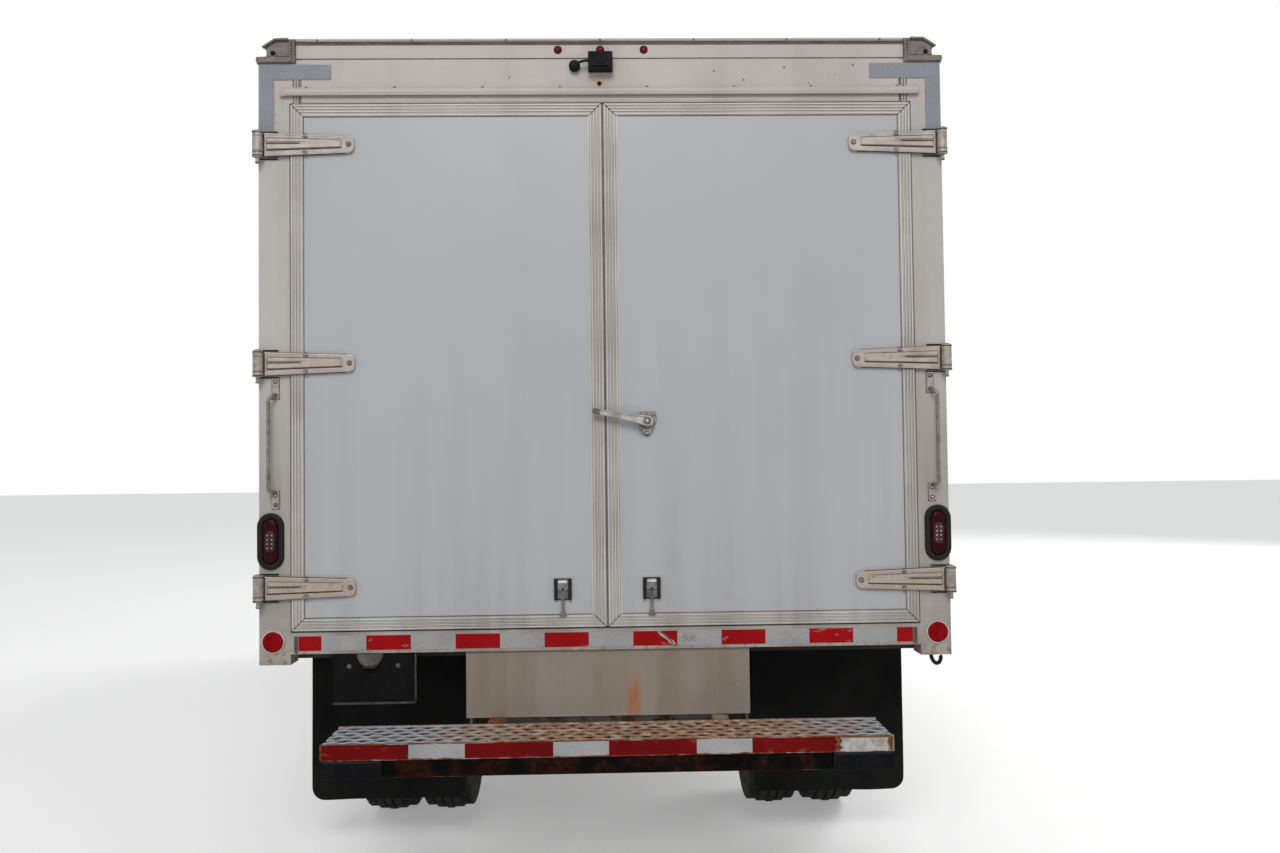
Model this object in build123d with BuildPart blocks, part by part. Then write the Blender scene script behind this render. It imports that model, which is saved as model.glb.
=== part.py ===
from build123d import *
from math import asin, degrees, sqrt
import os

# A box truck: dry-freight body with two rear doors, low cab-forward cab, twin rear wheels.
# Millimetres. +X is the truck's right, +Y is forward, +Z is up, and the ground is z = 0.

# Layout along the truck
body_length = 4267
body_overhang = 1150
cab_length = 1632.5
cab_gap = 150
step_reach = 367
bumper_reach = 60.5
front_overhang = 1150
overall_length = step_reach + body_length + cab_gap + cab_length + bumper_reach
rear_y = -overall_length / 2
body_rear = rear_y + step_reach
body_front = body_rear + body_length
cab_back = body_front + cab_gap
cab_front = cab_back + cab_length
front_y = cab_front + bumper_reach
front_axle_y = front_y - front_overhang
rear_axle_y = body_rear + body_overhang

# Tyres and wheels
tyre_radius = 385
tyre_width = 215
rim_radius = 203
bead_fit = 0.3
front_track = 1664
twin_gap = 35
rear_track = 1650
wheel_z = tyre_radius
tyre_half = tyre_width / 2
twin_spacing = tyre_width + twin_gap
rim_half = tyre_half - 17.5

# Frame
rail_clearance = 30
rail_height = 200
rail_flange = 60
rail_plate = 6
frame_width = 850
rail_top = wheel_z + tyre_radius + rail_clearance
rail_bottom = rail_top - rail_height
rail_outer = frame_width / 2
rail_web = rail_outer - rail_plate
rail_inner = rail_outer - rail_flange

# Box body
body_width = 2438
body_height = 2205
wall = 40
roof_drop = 15
long_sill = 38
cross_height = 75
cross_width = 45
cross_pitch = 300
deck_thick = 30
half_body = body_width / 2
inner_half = half_body - wall
cross_bottom = rail_top + long_sill
deck_bottom = cross_bottom + cross_height
deck_top = deck_bottom + deck_thick
body_top = cross_bottom + body_height
roof_top = body_top - roof_drop
roof_bottom = roof_top - wall + 2
rail_proud = 4

# Rear frame
frame_depth = 100
post_width = 109
post_drop = 112
sill_height = 75
header_height = 229
cap_width = 132
cap_height = 87
cap_proud = 5
opening_half = half_body - post_width
post_bottom = deck_top - post_drop
sill_bottom = deck_top - sill_height
header_bottom = body_top - header_height
cap_bottom = body_top - cap_height
cap_inner = half_body - cap_width
box_start = body_rear + frame_depth

# Rear doors
door_gap = 5
door_proud = 5
door_thick = 40
seam = 6
moulding_width = 45
stile_width = 50
moulding_base = 2
moulding_ridge = 2
door_low = deck_top + door_gap
door_high = header_bottom - door_gap
door_outer = opening_half - door_gap
door_face = body_rear - door_proud

# Hinges of the rear doors
hinge_heights = (door_low + 152, door_low + 938, door_high - 147)
hinge_x = half_body - 4
hinge_back = 25
hinge_y = body_rear - hinge_back
barrel_radius = 18
barrel_half = 26
butt_height = 20
pin_radius = 7
pin_clearance = 0.15
strap_gap = 0.3
strap_thick = 8
strap_half = 41
strap_tip_half = 30
strap_tip_x = door_outer - 195
strap_back = door_face - moulding_base - moulding_ridge - strap_gap
strap_start = hinge_x - barrel_radius - 4

# Lamps, handles and latch at the rear
lamp_size = (90, 199)
lens_size = (52, 160)
lamp_x = half_body - 41
lamp_z = deck_top + 320
handle_x = half_body - 48
handle_back = 38
handle_radius = 6.5
handle_feet = ((deck_top + 433, deck_top + 495), (deck_top + 821, deck_top + 893))
latch_x = 146
latch_z = deck_top + 721.5
latch_size = (72, 95)
boss_z = latch_z + 6.5
lever_tip = (-45, latch_z + 44.5)
lever_width = 24
lever_thick = 12

# Step at the rear
step_half = 918
step_depth = 259
step_drop = 303
step_plate = 5
step_lip = 52
step_flange = 45
tread_thick = 8
dock_length = 196
dock_drop = 61
step_top = deck_top - step_drop
step_front = rear_y + step_depth
lip_bottom = step_top - step_lip

# Number plate, apron and mud flaps
plate_x = -822
plate_span = (-965, -672)
plate_height = 178
plate_spacing = 170
plate_hole_radius = 3.5
apron_half = 500
flap_width = 610
flap_x = rear_track / 2 + 60
flap_bottom = 190
flap_thick = 8
flap_y = body_rear + 2 * cross_pitch

# Cab
cab_half = 1000
cab_wall = 40
cab_arm_x = (rail_inner - 80, rail_inner - 50)
cab_height = 1390
arch_clearance = 90
cab_skirt = 160
cab_floor_bottom = wheel_z + tyre_radius + arch_clearance
cab_bottom = cab_floor_bottom - cab_skirt
cab_floor = cab_floor_bottom + cab_wall
cab_roof = cab_floor_bottom + cab_height
belt = cab_floor_bottom + 520
cab_inner = cab_half - cab_wall
arch_radius = cab_floor_bottom - wheel_z
pivot_y = cab_front - cab_wall - 38
pivot_z = cab_bottom + 60
pivot_radius = 15
pivot_boss = 25
tunnel_half = 360
tunnel_top = cab_floor_bottom + 270
tunnel_front = cab_front - 418
tunnel_wall = 30
roof_corner = (cab_front - 278, cab_roof - 15)
belt_corner = (cab_front - 28, belt + 20)
screen_size = (1740, 690)
rear_window_size = (1100, 460)
rear_window_z = belt + 380

# Cab doors
cab_door_rear = cab_back + 254.5
cab_door_front = cab_front - 228
cab_door_bottom = cab_floor_bottom + 30
cab_door_top = cab_roof - 100
cab_hinge_x = cab_half + 10
cab_hinge_y = cab_door_front + 10
cab_hinge_heights = (cab_door_bottom + 160, cab_door_bottom + 450)
cab_hinge_half = 38
cab_barrel = 9
cab_pin = 4.5
glass_thick = 6
glass_fit = 0.3

# Front of the cab
grille_half = 520
grille_slot = 26
grille_slots = [cab_bottom + 100 + 50 * row for row in range(4)]
lamp_box = ((cab_half - 350, cab_half - 70), (cab_bottom + 90, cab_bottom + 220))

# Inside the cab
seat_back_y = cab_back + 304.5
seat_spans = ((-730, -230), (-130, 730))
seat_height = 270
dash_back = cab_front - 288
dash_z = belt - 230
hub_x = -480
wheel_ring = 205
mirror_x = cab_half + 205
mirror_y = cab_front - 128
mirror_size = (170, 400)

# Engine
engine_half = 290
engine_length = 850
gearbox_length = 650
gearbox_half = 180
engine_front = tunnel_front - 160
engine_rear = engine_front - engine_length
engine_bottom = rail_top - 240
engine_top = tunnel_top - 55
gearbox_rear = engine_rear - gearbox_length
shaft_z = rail_top - 160
shaft_radius = 38
flange_radius = 60
flange_thick = 14

# Axles
king_pin_x = 720
king_pin_radius = 15
king_boss = 32
spindle_radius = 30
rear_spindle_radius = 40
running_fit = 0.3
rest_gap = 0.3
nose_reach = 265
drum_radius = 135
drum_start = rear_track / 2 - 225
rear_tube_end = rear_track / 2 - 185
front_seat = wheel_z + 25
rear_seat = wheel_z + 65
front_half_spring = 600
rear_half_spring = 650
front_spring_x = rail_outer - 35
rear_spring_x = rail_outer + 45

# What hangs on the frame
hung_x = rail_outer + 25
tank_width = 450
tank_length = 900
tank_front = gearbox_rear - 100
battery_width = 400
battery_length = 340
battery_rear = tank_front + 60
pipe_radius = 32
muffler_x = 600
muffler_z = rail_bottom - 120
muffler_radius = 110
muffler_length = 600
muffler_front = gearbox_rear - 200

# Front bumper
bumper_top = cab_bottom - 50
bumper_bottom = bumper_top - 220
bumper_deep = 48
bumper_corner = 110
bumper_lip_half = 760
bumper_back = front_axle_y + tyre_radius + 86.5
bumper_step = (bumper_back + 90, bumper_back + 420)
bumper_step_height = 120

sides = (("left", -1), ("right", 1))

os.makedirs("parts", exist_ok=True)


def save(piece, name):
    piece.part.label = name
    export_step(piece.part, f"parts/{name}.step")


def block(x, y, z, mode=Mode.ADD):
    """A box between two values on each axis, in either order."""
    with Locations((min(x), min(y), min(z))):
        Box(abs(x[1] - x[0]), abs(y[1] - y[0]), abs(z[1] - z[0]), align=Align.MIN, mode=mode)


def mirrored(side, low, high):
    """The X span of a piece on the left (-1) or the right (1)."""
    return (side * low, side * high)


def rod(start, end, radius, mode=Mode.ADD):
    """A round bar between two points."""
    axis = Vector(*end) - Vector(*start)
    with Locations(Plane(origin=start, z_dir=axis)):
        Cylinder(radius, axis.length, align=(Align.CENTER, Align.CENTER, Align.MIN), mode=mode)


def rear_view(y):
    """A plane across the truck at y: local x is X, local y is Z, and its normal is -Y."""
    return Plane(origin=(0, y, 0), x_dir=(1, 0, 0), z_dir=(0, -1, 0))


def axle_view(y):
    """The same plane through an axle, for profiles that turn about it."""
    return Plane(origin=(0, y, wheel_z), x_dir=(1, 0, 0), z_dir=(0, -1, 0))


# Frame

rail_rear = body_rear + 60
rail_front = pivot_y - 40
ear_thick = 12

with BuildPart() as frame_rails:
    for side in (-1, 1):
        block(mirrored(side, rail_web, rail_outer), (rail_rear, rail_front), (rail_bottom, rail_top))
        for flange in (rail_bottom, rail_top - rail_plate):
            block(
                mirrored(side, rail_inner, rail_outer),
                (rail_rear, rail_front),
                (flange, flange + rail_plate),
            )
        # The ear that holds the cab's pivot tube
        ear = mirrored(side, rail_web - ear_thick, rail_web)
        block(ear, (rail_front - 100, pivot_y), (pivot_z - 18, pivot_z + 18))
        rod((ear[0], pivot_y, pivot_z), (ear[1], pivot_y, pivot_z), pivot_boss)
save(frame_rails, "frame_rails")

# Crossmembers: y of each one's rear face, and its lowest z
crossmembers = (
    (body_rear + 200, rail_bottom + 90),
    (rear_axle_y + 420, rail_bottom + 90),
    (gearbox_rear - 1500, rail_bottom + 90),
    (gearbox_rear - 600, rail_bottom + 90),
    (engine_front + 120, rail_bottom + 10),
)
with BuildPart() as frame_crossmembers:
    for y, z in crossmembers:
        block((-rail_web, rail_web), (y, y + 60), (z, z + 90))
    pivot_end = rail_web - ear_thick
    rod((-pivot_end, pivot_y, pivot_z), (pivot_end, pivot_y, pivot_z), pivot_radius)
    for side in (-1, 1):
        block(
            mirrored(side, rail_inner, rail_outer),
            (cab_back, cab_back + 50),
            (rail_top, cab_floor_bottom - rest_gap),
        )
save(frame_crossmembers, "frame_crossmembers")


# Axles and springs


def leaf_spring(x, y, seat_z, eye_z, half_length, leaves, leaf_thick=10, half_width=35):
    """One leaf pack on its axle seat, with eyes and the hangers that carry them."""
    main_z = seat_z + (leaves - 0.5) * leaf_thick
    rise = eye_z - main_z
    radius = (half_length**2 + rise**2) / (2 * rise)
    centre = (y, main_z + radius)
    with BuildSketch(Plane.YZ.offset(x - half_width)) as pack:
        for leaf in range(leaves):
            reach = half_length * (1 - leaf / (leaves + 1))
            sweep_half = degrees(asin(reach / radius))
            inner = radius + (leaf - 0.5) * leaf_thick - 0.5
            outer = radius + (leaf + 0.5) * leaf_thick
            with BuildLine():
                near = CenterArc(centre, inner, -90 - sweep_half, 2 * sweep_half)
                far = CenterArc(centre, outer, -90 - sweep_half, 2 * sweep_half)
                Line(near @ 0, far @ 0)
                Line(near @ 1, far @ 1)
            make_face()
    extrude(pack.sketch, amount=2 * half_width)
    for end in (-1, 1):
        eye_y = y + end * half_length
        rod((x - half_width, eye_y, eye_z), (x + half_width, eye_y, eye_z), 25)
        for plate in (-1, 1):
            edge = x + plate * half_width
            block((edge, edge + plate * 8), (eye_y - 40, eye_y + 40), (eye_z - 30, rail_bottom))


with BuildPart() as leaf_springs:
    for side in (-1, 1):
        front_eye = rail_bottom - 95
        rear_eye = rail_bottom - 35
        leaf_spring(side * front_spring_x, front_axle_y, front_seat, front_eye, front_half_spring, 5)
        leaf_spring(side * rear_spring_x, rear_axle_y, rear_seat, rear_eye, rear_half_spring, 8)
        for end in (-1, 1):
            y = rear_axle_y + end * rear_half_spring
            block(
                mirrored(side, rail_outer, rear_spring_x + 43),
                (y - 40, y + 40),
                (rail_bottom, rail_bottom + 60),
            )
save(leaf_springs, "leaf_springs")

with BuildPart() as front_axle:
    with BuildSketch(rear_view(front_axle_y + 42)):
        with BuildLine():
            half = (
                (front_spring_x + 40, wheel_z - 95),
                (king_pin_x - 150, wheel_z - 40),
                (king_pin_x, wheel_z - 40),
                (king_pin_x, wheel_z + 40),
                (king_pin_x - 150, wheel_z + 35),
                (front_spring_x + 40, wheel_z - 25),
            )
            Polyline(*half, *[(-x, z) for x, z in reversed(half)], close=True)
        make_face()
    extrude(amount=84)
    for side in (-1, 1):
        x = side * king_pin_x
        rod((x, front_axle_y, wheel_z - 48), (x, front_axle_y, wheel_z + 48), king_boss)
        rod((x, front_axle_y, wheel_z - 89), (x, front_axle_y, wheel_z + 89), king_pin_radius)
        pad = mirrored(side, front_spring_x - 40, front_spring_x + 40)
        block(pad, (front_axle_y - 50, front_axle_y + 50), (wheel_z - 35, front_seat))
save(front_axle, "front_axle")

with BuildPart() as rear_axle:
    rod((-rear_tube_end, rear_axle_y, wheel_z), (rear_tube_end, rear_axle_y, wheel_z), 55)
    rod((0, rear_axle_y - 75, wheel_z), (0, rear_axle_y + 75, wheel_z), 190)
    rod((0, rear_axle_y - 110, wheel_z), (0, rear_axle_y, wheel_z), 130)
    rod((0, rear_axle_y, wheel_z), (0, rear_axle_y + nose_reach, wheel_z), 70)
    for side in (-1, 1):
        rod(
            (side * rear_tube_end, rear_axle_y, wheel_z),
            (side * (rear_track / 2 + 70), rear_axle_y, wheel_z),
            rear_spindle_radius,
        )
        shield = mirrored(side, drum_start - 12, drum_start - 6)
        rod((shield[0], rear_axle_y, wheel_z), (shield[1], rear_axle_y, wheel_z), drum_radius + 3)
        pad = mirrored(side, rear_spring_x - 40, rear_spring_x + 40)
        block(pad, (rear_axle_y - 60, rear_axle_y + 60), (wheel_z, rear_seat))
save(rear_axle, "rear_axle")

# Drive line

with BuildPart() as engine:
    block((-engine_half, engine_half), (engine_rear, engine_front), (engine_bottom, engine_top))
    gearbox_top = rail_top - 10
    block((-gearbox_half, gearbox_half), (gearbox_rear, engine_rear), (rail_bottom - 60, gearbox_top))
    for side in (-1, 1):
        mount_y = (engine_front - 500, engine_front - 440)
        block(mirrored(side, engine_half, rail_web), mount_y, (rail_bottom + 40, rail_top - 100))
save(engine, "engine")

nose_y = rear_axle_y + nose_reach
with BuildPart() as drive_shaft:
    rod((0, gearbox_rear - flange_thick, shaft_z), (0, gearbox_rear, shaft_z), flange_radius)
    rod((0, nose_y, wheel_z), (0, nose_y + flange_thick, wheel_z), flange_radius)
    rod((0, nose_y + 8, wheel_z), (0, gearbox_rear - 8, shaft_z), shaft_radius)
save(drive_shaft, "drive_shaft")

muffler_rear = muffler_front - muffler_length
down_pipe_z = rail_bottom - 6
with BuildPart() as exhaust:
    pipes = (
        (
            (gearbox_half + 50, engine_rear, down_pipe_z),
            (gearbox_half + 50, engine_rear - 370, down_pipe_z),
            (muffler_x, muffler_front + 160, muffler_z),
            (muffler_x, muffler_front - 10, muffler_z),
        ),
        (
            (muffler_x, muffler_rear + 10, muffler_z),
            (muffler_x, muffler_rear - 210, muffler_z),
            (half_body - 129, muffler_rear - 470, muffler_z),
        ),
    )
    for points in pipes:
        with BuildLine() as route:
            FilletPolyline(*points, radius=100)
        with BuildSketch(Plane(origin=route.line @ 0, z_dir=route.line % 0)):
            Circle(pipe_radius)
        sweep()
    rod((muffler_x, muffler_rear, muffler_z), (muffler_x, muffler_front, muffler_z), muffler_radius)
    hanger_y = muffler_front - 210
    block((rail_outer, muffler_x), (hanger_y, hanger_y + 22), (rail_bottom - 40, rail_bottom + 40))
save(exhaust, "exhaust")

with BuildPart() as fuel_tank:
    tank_rear = tank_front - tank_length
    block((-hung_x - tank_width, -hung_x), (tank_rear, tank_front), (rail_bottom - 200, rail_bottom + 100))
    fillet(fuel_tank.edges().filter_by(Axis.Y), 40)
    for y in (tank_rear + 150, tank_front - 200):
        block((-hung_x, -rail_outer), (y, y + 60), (rail_bottom + 20, rail_bottom + 80))
save(fuel_tank, "fuel_tank")

with BuildPart() as battery_box:
    battery_front = battery_rear + battery_length
    block(
        (-hung_x - battery_width, -hung_x),
        (battery_rear, battery_front),
        (rail_bottom - 150, rail_bottom + 120),
    )
    fillet(battery_box.edges().filter_by(Axis.Z), 20)
    block(
        (-hung_x, -rail_outer),
        (battery_rear + 120, battery_front - 120),
        (rail_bottom + 20, rail_bottom + 100),
    )
save(battery_box, "battery_box")

# Front bumper, with a step let into each side

with BuildPart() as front_bumper:
    with BuildSketch(Plane.XY.offset(bumper_bottom)) as bumper_plan:
        with Locations((0, (front_y + bumper_back) / 2)):
            Rectangle(2 * cab_half, front_y - bumper_back)
        front_corners = bumper_plan.vertices().filter_by(lambda v: v.Y > bumper_back + 1)
        fillet(front_corners, bumper_corner)
        with Locations((0, (front_y - bumper_deep + bumper_back) / 2)):
            Rectangle(
                2 * (cab_half - bumper_deep),
                front_y - bumper_deep - bumper_back,
                mode=Mode.SUBTRACT,
            )
    extrude(amount=bumper_top - bumper_bottom)
    # The raised lip in front of the cab's lower edge
    lip = (bumper_top - 1, bumper_top + 40)
    block((-bumper_lip_half, bumper_lip_half), (front_y - bumper_deep, front_y), lip)
    tread_z = bumper_bottom + 60
    for side in (-1, 1):
        opening = mirrored(side, cab_half - 100, cab_half)
        block(opening, bumper_step, (tread_z, tread_z + bumper_step_height), Mode.SUBTRACT)
        tread_y = (bumper_step[0] - 10, bumper_step[1] + 10)
        block(mirrored(side, cab_half - 210, cab_half - 5), tread_y, (tread_z - 15, tread_z))
        arm = mirrored(side, rail_inner, rail_outer)
        block(arm, (rail_front, front_y - bumper_deep + 8), (rail_bottom + 5, bumper_top))
save(front_bumper, "front_bumper")

# Body floor

with BuildPart() as floor_crossmembers:
    block((-inner_half, inner_half), (box_start, box_start + 60), (cross_bottom, deck_bottom))
    y = body_rear + cross_pitch
    while y < body_front - cross_width:
        block(
            (-inner_half, inner_half),
            (y - cross_width / 2, y + cross_width / 2),
            (cross_bottom, deck_bottom),
        )
        y += cross_pitch
    block(
        (-inner_half, inner_half),
        (body_front - cross_width, body_front),
        (cross_bottom, deck_bottom),
    )
    for side in (-1, 1):
        block(mirrored(side, rail_inner, rail_outer), (box_start, body_front), (rail_top, cross_bottom + 1))
save(floor_crossmembers, "floor_crossmembers")

with BuildPart() as box_floor:
    block((-inner_half, inner_half), (box_start, body_front - wall), (deck_bottom, deck_top))
save(box_floor, "box_floor")

# Body walls and roof

with BuildPart() as box_side_walls:
    for side in (-1, 1):
        block(mirrored(side, inner_half, half_body), (box_start, body_front), (cross_bottom, roof_bottom))
        for low, high in ((cross_bottom, deck_top), (roof_bottom - 40, roof_bottom)):
            block(mirrored(side, half_body - 1, half_body + rail_proud), (box_start, body_front), (low, high))
save(box_side_walls, "box_side_walls")

with BuildPart() as box_front_wall:
    block((-inner_half, inner_half), (body_front - wall, body_front), (deck_bottom, roof_bottom))
save(box_front_wall, "box_front_wall")

with BuildPart() as box_roof:
    block((-half_body, half_body), (box_start, body_front), (roof_bottom, roof_top))
save(box_roof, "box_roof")

# Rear frame

with BuildPart() as rear_posts:
    for side in (-1, 1):
        block(mirrored(side, opening_half, half_body), (body_rear, box_start), (post_bottom, header_bottom))
save(rear_posts, "rear_posts")

with BuildPart() as rear_header:
    block((-half_body, half_body), (body_rear, box_start), (header_bottom, cap_bottom))
    block((-cap_inner, cap_inner), (body_rear, box_start), (cap_bottom, body_top))
save(rear_header, "rear_header")

with BuildPart() as rear_sill:
    block((-opening_half, opening_half), (body_rear, box_start), (sill_bottom, deck_top))
save(rear_sill, "rear_sill")

with BuildPart() as corner_caps:
    for side in (-1, 1):
        with BuildSketch(rear_view(box_start)):
            with BuildLine():
                outline = (
                    (cap_inner, cap_bottom),
                    (half_body + cap_proud, cap_bottom),
                    (half_body + cap_proud, cap_bottom + 24),
                    (half_body - 20, body_top - 26),
                    (half_body - 63, body_top),
                    (cap_inner, body_top),
                )
                Polyline(*[(side * x, z) for x, z in outline], close=True)
            make_face()
        extrude(amount=frame_depth + cap_proud)
save(corner_caps, "corner_caps")

with BuildPart() as tail_lamps:
    for side in (-1, 1):
        with BuildSketch(rear_view(body_rear)):
            with Locations((side * lamp_x, lamp_z)):
                SlotOverall(lamp_size[1], lamp_size[0], rotation=90)
        extrude(amount=6)
        with BuildSketch(rear_view(body_rear - 5)):
            with Locations((side * lamp_x, lamp_z)):
                SlotOverall(lens_size[1], lens_size[0], rotation=90)
        extrude(amount=14)
save(tail_lamps, "tail_lamps")

with BuildPart() as grab_handles:
    for side in (-1, 1):
        x = side * handle_x
        for low, high in handle_feet:
            block((x - 12, x + 12), (body_rear - 5, body_rear), (low, high))
        start_z = sum(handle_feet[0]) / 2
        end_z = sum(handle_feet[1]) / 2
        with BuildLine() as grip:
            FilletPolyline(
                (x, body_rear - 4.5, start_z),
                (x, body_rear - handle_back, start_z + 25),
                (x, body_rear - handle_back, end_z - 30),
                (x, body_rear - 4.5, end_z),
                radius=14,
            )
        with BuildSketch(Plane(origin=grip.line @ 0, z_dir=grip.line % 0)):
            Circle(handle_radius)
        sweep()
save(grab_handles, "grab_handles")

# The bracket that takes the number plate: two holes in a line
plate_hole_z = sill_bottom - 45
with BuildPart() as plate_bracket:
    block(plate_span, (body_rear + 2, body_rear + 5), (sill_bottom - plate_height, sill_bottom))
    for side in (-1, 1):
        x = plate_x + side * plate_spacing / 2
        start = (x, body_rear, plate_hole_z)
        rod(start, (x, body_rear + 8, plate_hole_z), plate_hole_radius, Mode.SUBTRACT)
save(plate_bracket, "plate_bracket")

with BuildPart() as rear_apron:
    apron_y = (body_rear + 10, body_rear + 13)
    block((-apron_half, apron_half), apron_y, (step_top - 6, sill_bottom))
save(rear_apron, "rear_apron")

with BuildPart() as mud_flaps:
    for side in (-1, 1):
        with BuildSketch(rear_view(flap_y + flap_thick / 2)) as flap:
            with Locations((side * flap_x, (flap_bottom + cross_bottom) / 2)):
                Rectangle(flap_width, cross_bottom - flap_bottom)
            fillet(flap.vertices().group_by(Axis.Y)[0], 60)
        extrude(amount=flap_thick)
save(mud_flaps, "mud_flaps")

# Step bumper: a framed tread, a lower channel and the arms into the rails

with BuildPart() as step_bumper:
    for face, back in ((rear_y, rear_y + step_flange), (step_front, step_front - step_flange)):
        inward = step_plate if back > face else -step_plate
        block((-step_half, step_half), (face, face + inward), (lip_bottom, step_top))
        block((-step_half, step_half), (face, back), (lip_bottom, lip_bottom + step_plate))
    for x in (-step_half, -step_half / 3, step_half / 3 - step_plate, step_half - step_plate):
        block((x, x + step_plate), (rear_y, step_front), (lip_bottom, step_top - tread_thick))
    channel_half = step_half - dock_length - 4
    block((-channel_half, channel_half), (rear_y + 8, rear_y + 60), (lip_bottom - 56, lip_bottom))
    for side in (-1, 1):
        arm = mirrored(side, rail_inner, rail_web)
        arm_z = (rail_bottom + rail_plate, step_top - tread_thick)
        block(arm, (step_front - 60, rail_rear + 150), arm_z)
save(step_bumper, "step_bumper")

with BuildPart() as step_tread:
    block(
        (-step_half, step_half),
        (rear_y + step_plate, step_front - step_plate),
        (step_top - tread_thick, step_top),
    )
save(step_tread, "step_tread")

with BuildPart() as dock_bumpers:
    for side in (-1, 1):
        block(
            mirrored(side, step_half - dock_length, step_half),
            (rear_y + 2, rear_y + 80),
            (lip_bottom - dock_drop, lip_bottom),
        )
    fillet(dock_bumpers.edges().filter_by(Axis.X).group_by(Axis.Z)[0], 12)
save(dock_bumpers, "dock_bumpers")

# Rear doors with their hinges

butt_gap = 0.5
butt_start = barrel_half + butt_gap

with BuildPart() as hinge_butts:
    for side in (-1, 1):
        x = side * hinge_x
        for z in hinge_heights:
            rod((x, hinge_y, z - 64), (x, hinge_y, z + 50), pin_radius)
            for low in (-butt_start - butt_height, butt_start):
                high = low + butt_height
                rod((x, hinge_y, z + low), (x, hinge_y, z + high), barrel_radius)
                block(mirrored(side, hinge_x - 12, half_body), (hinge_y, body_rear), (z + low, z + high))
save(hinge_butts, "hinge_butts")

# Flutes of the moulding: inset from the leaf's edge, and width
flutes = ((2, 6), (14, 5), (25, 5), (36, 6))


def leaf_ring(side, inset, width):
    """A rectangular ring inset from the leaf's edge."""
    mid_x = side * (door_outer + seam / 2) / 2
    wide = door_outer - seam / 2 - 2 * inset
    tall = door_high - door_low - 2 * inset
    with Locations((mid_x, (door_low + door_high) / 2)):
        Rectangle(wide, tall)
        Rectangle(wide - 2 * width, tall - 2 * width, mode=Mode.SUBTRACT)


for name, side in sides:
    with BuildPart() as rear_door:
        block(
            mirrored(side, seam / 2, door_outer),
            (door_face, door_face + door_thick),
            (door_low, door_high),
        )
        with BuildSketch(rear_view(door_face)):
            leaf_ring(side, 0, moulding_width)
        extrude(amount=moulding_base)
        for inset, width in flutes:
            with BuildSketch(rear_view(door_face - moulding_base)):
                leaf_ring(side, inset, width)
            extrude(amount=moulding_ridge)
        # The wider plain band of the stile at the seam
        stile_start = seam / 2 + moulding_width
        block(
            mirrored(side, stile_start, seam / 2 + stile_width),
            (door_face - moulding_base, door_face),
            (door_low + moulding_width, door_high - moulding_width),
        )
    save(rear_door, f"rear_door_{name}")

    with BuildPart() as hinge_straps:
        for z in hinge_heights:
            with BuildSketch(rear_view(strap_back)):
                with BuildLine():
                    Polyline(
                        (side * strap_tip_x, z - strap_tip_half),
                        (side * strap_start, z - strap_half),
                        (side * strap_start, z + strap_half),
                        (side * strap_tip_x, z + strap_tip_half),
                    )
                    ThreePointArc(
                        (side * strap_tip_x, z + strap_tip_half),
                        (side * (strap_tip_x - strap_tip_half), z),
                        (side * strap_tip_x, z - strap_tip_half),
                    )
                make_face()
            extrude(amount=strap_thick)
            # The raised rib that narrows away from the hinge
            rib_tip = strap_tip_x + 20
            rib_end = strap_start - 8
            with BuildSketch(rear_view(strap_back - strap_thick)):
                with BuildLine():
                    Polyline(
                        (side * rib_tip, z - 8),
                        (side * rib_end, z - 24),
                        (side * rib_end, z + 24),
                        (side * rib_tip, z + 8),
                        close=True,
                    )
                make_face()
            extrude(amount=3)
            # The pad between the strap and the door's skin
            pad_outer = door_outer - moulding_width - 3
            block(mirrored(side, strap_tip_x - 15, pad_outer), (door_face, strap_back), (z - 24, z + 24))
            # The knuckle round the pin
            x = side * hinge_x
            block(
                mirrored(side, strap_start - 2, hinge_x),
                (strap_back - strap_thick, strap_back),
                (z - barrel_half, z + barrel_half),
            )
            rod((x, hinge_y, z - barrel_half), (x, hinge_y, z + barrel_half), barrel_radius)
            bore = barrel_half + 4
            bore_radius = pin_radius + pin_clearance
            rod((x, hinge_y, z - bore), (x, hinge_y, z + bore), bore_radius, Mode.SUBTRACT)
    save(hinge_straps, f"hinge_straps_{name}")

with BuildPart() as door_latch:
    base_z = (latch_z - latch_size[1] / 2, latch_z + latch_size[1] / 2)
    base_x = (latch_x - latch_size[0] / 2, latch_x + latch_size[0] / 2)
    block(base_x, (door_face - 16, door_face), base_z)
    fillet(door_latch.edges().filter_by(Axis.Y), 10)
    rod((latch_x, door_face - 44, boss_z), (latch_x, door_face - 16, boss_z), 22)
    with BuildSketch(rear_view(door_face - 30)):
        lever_length = sqrt((latch_x - lever_tip[0]) ** 2 + (lever_tip[1] - boss_z) ** 2)
        lever_turn = degrees(asin((boss_z - lever_tip[1]) / lever_length))
        with Locations(((latch_x + lever_tip[0]) / 2, (boss_z + lever_tip[1]) / 2)):
            SlotCenterToCenter(lever_length - lever_width, lever_width, rotation=lever_turn)
    extrude(amount=lever_thick)
save(door_latch, "door_latch")

# Wheels

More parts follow.
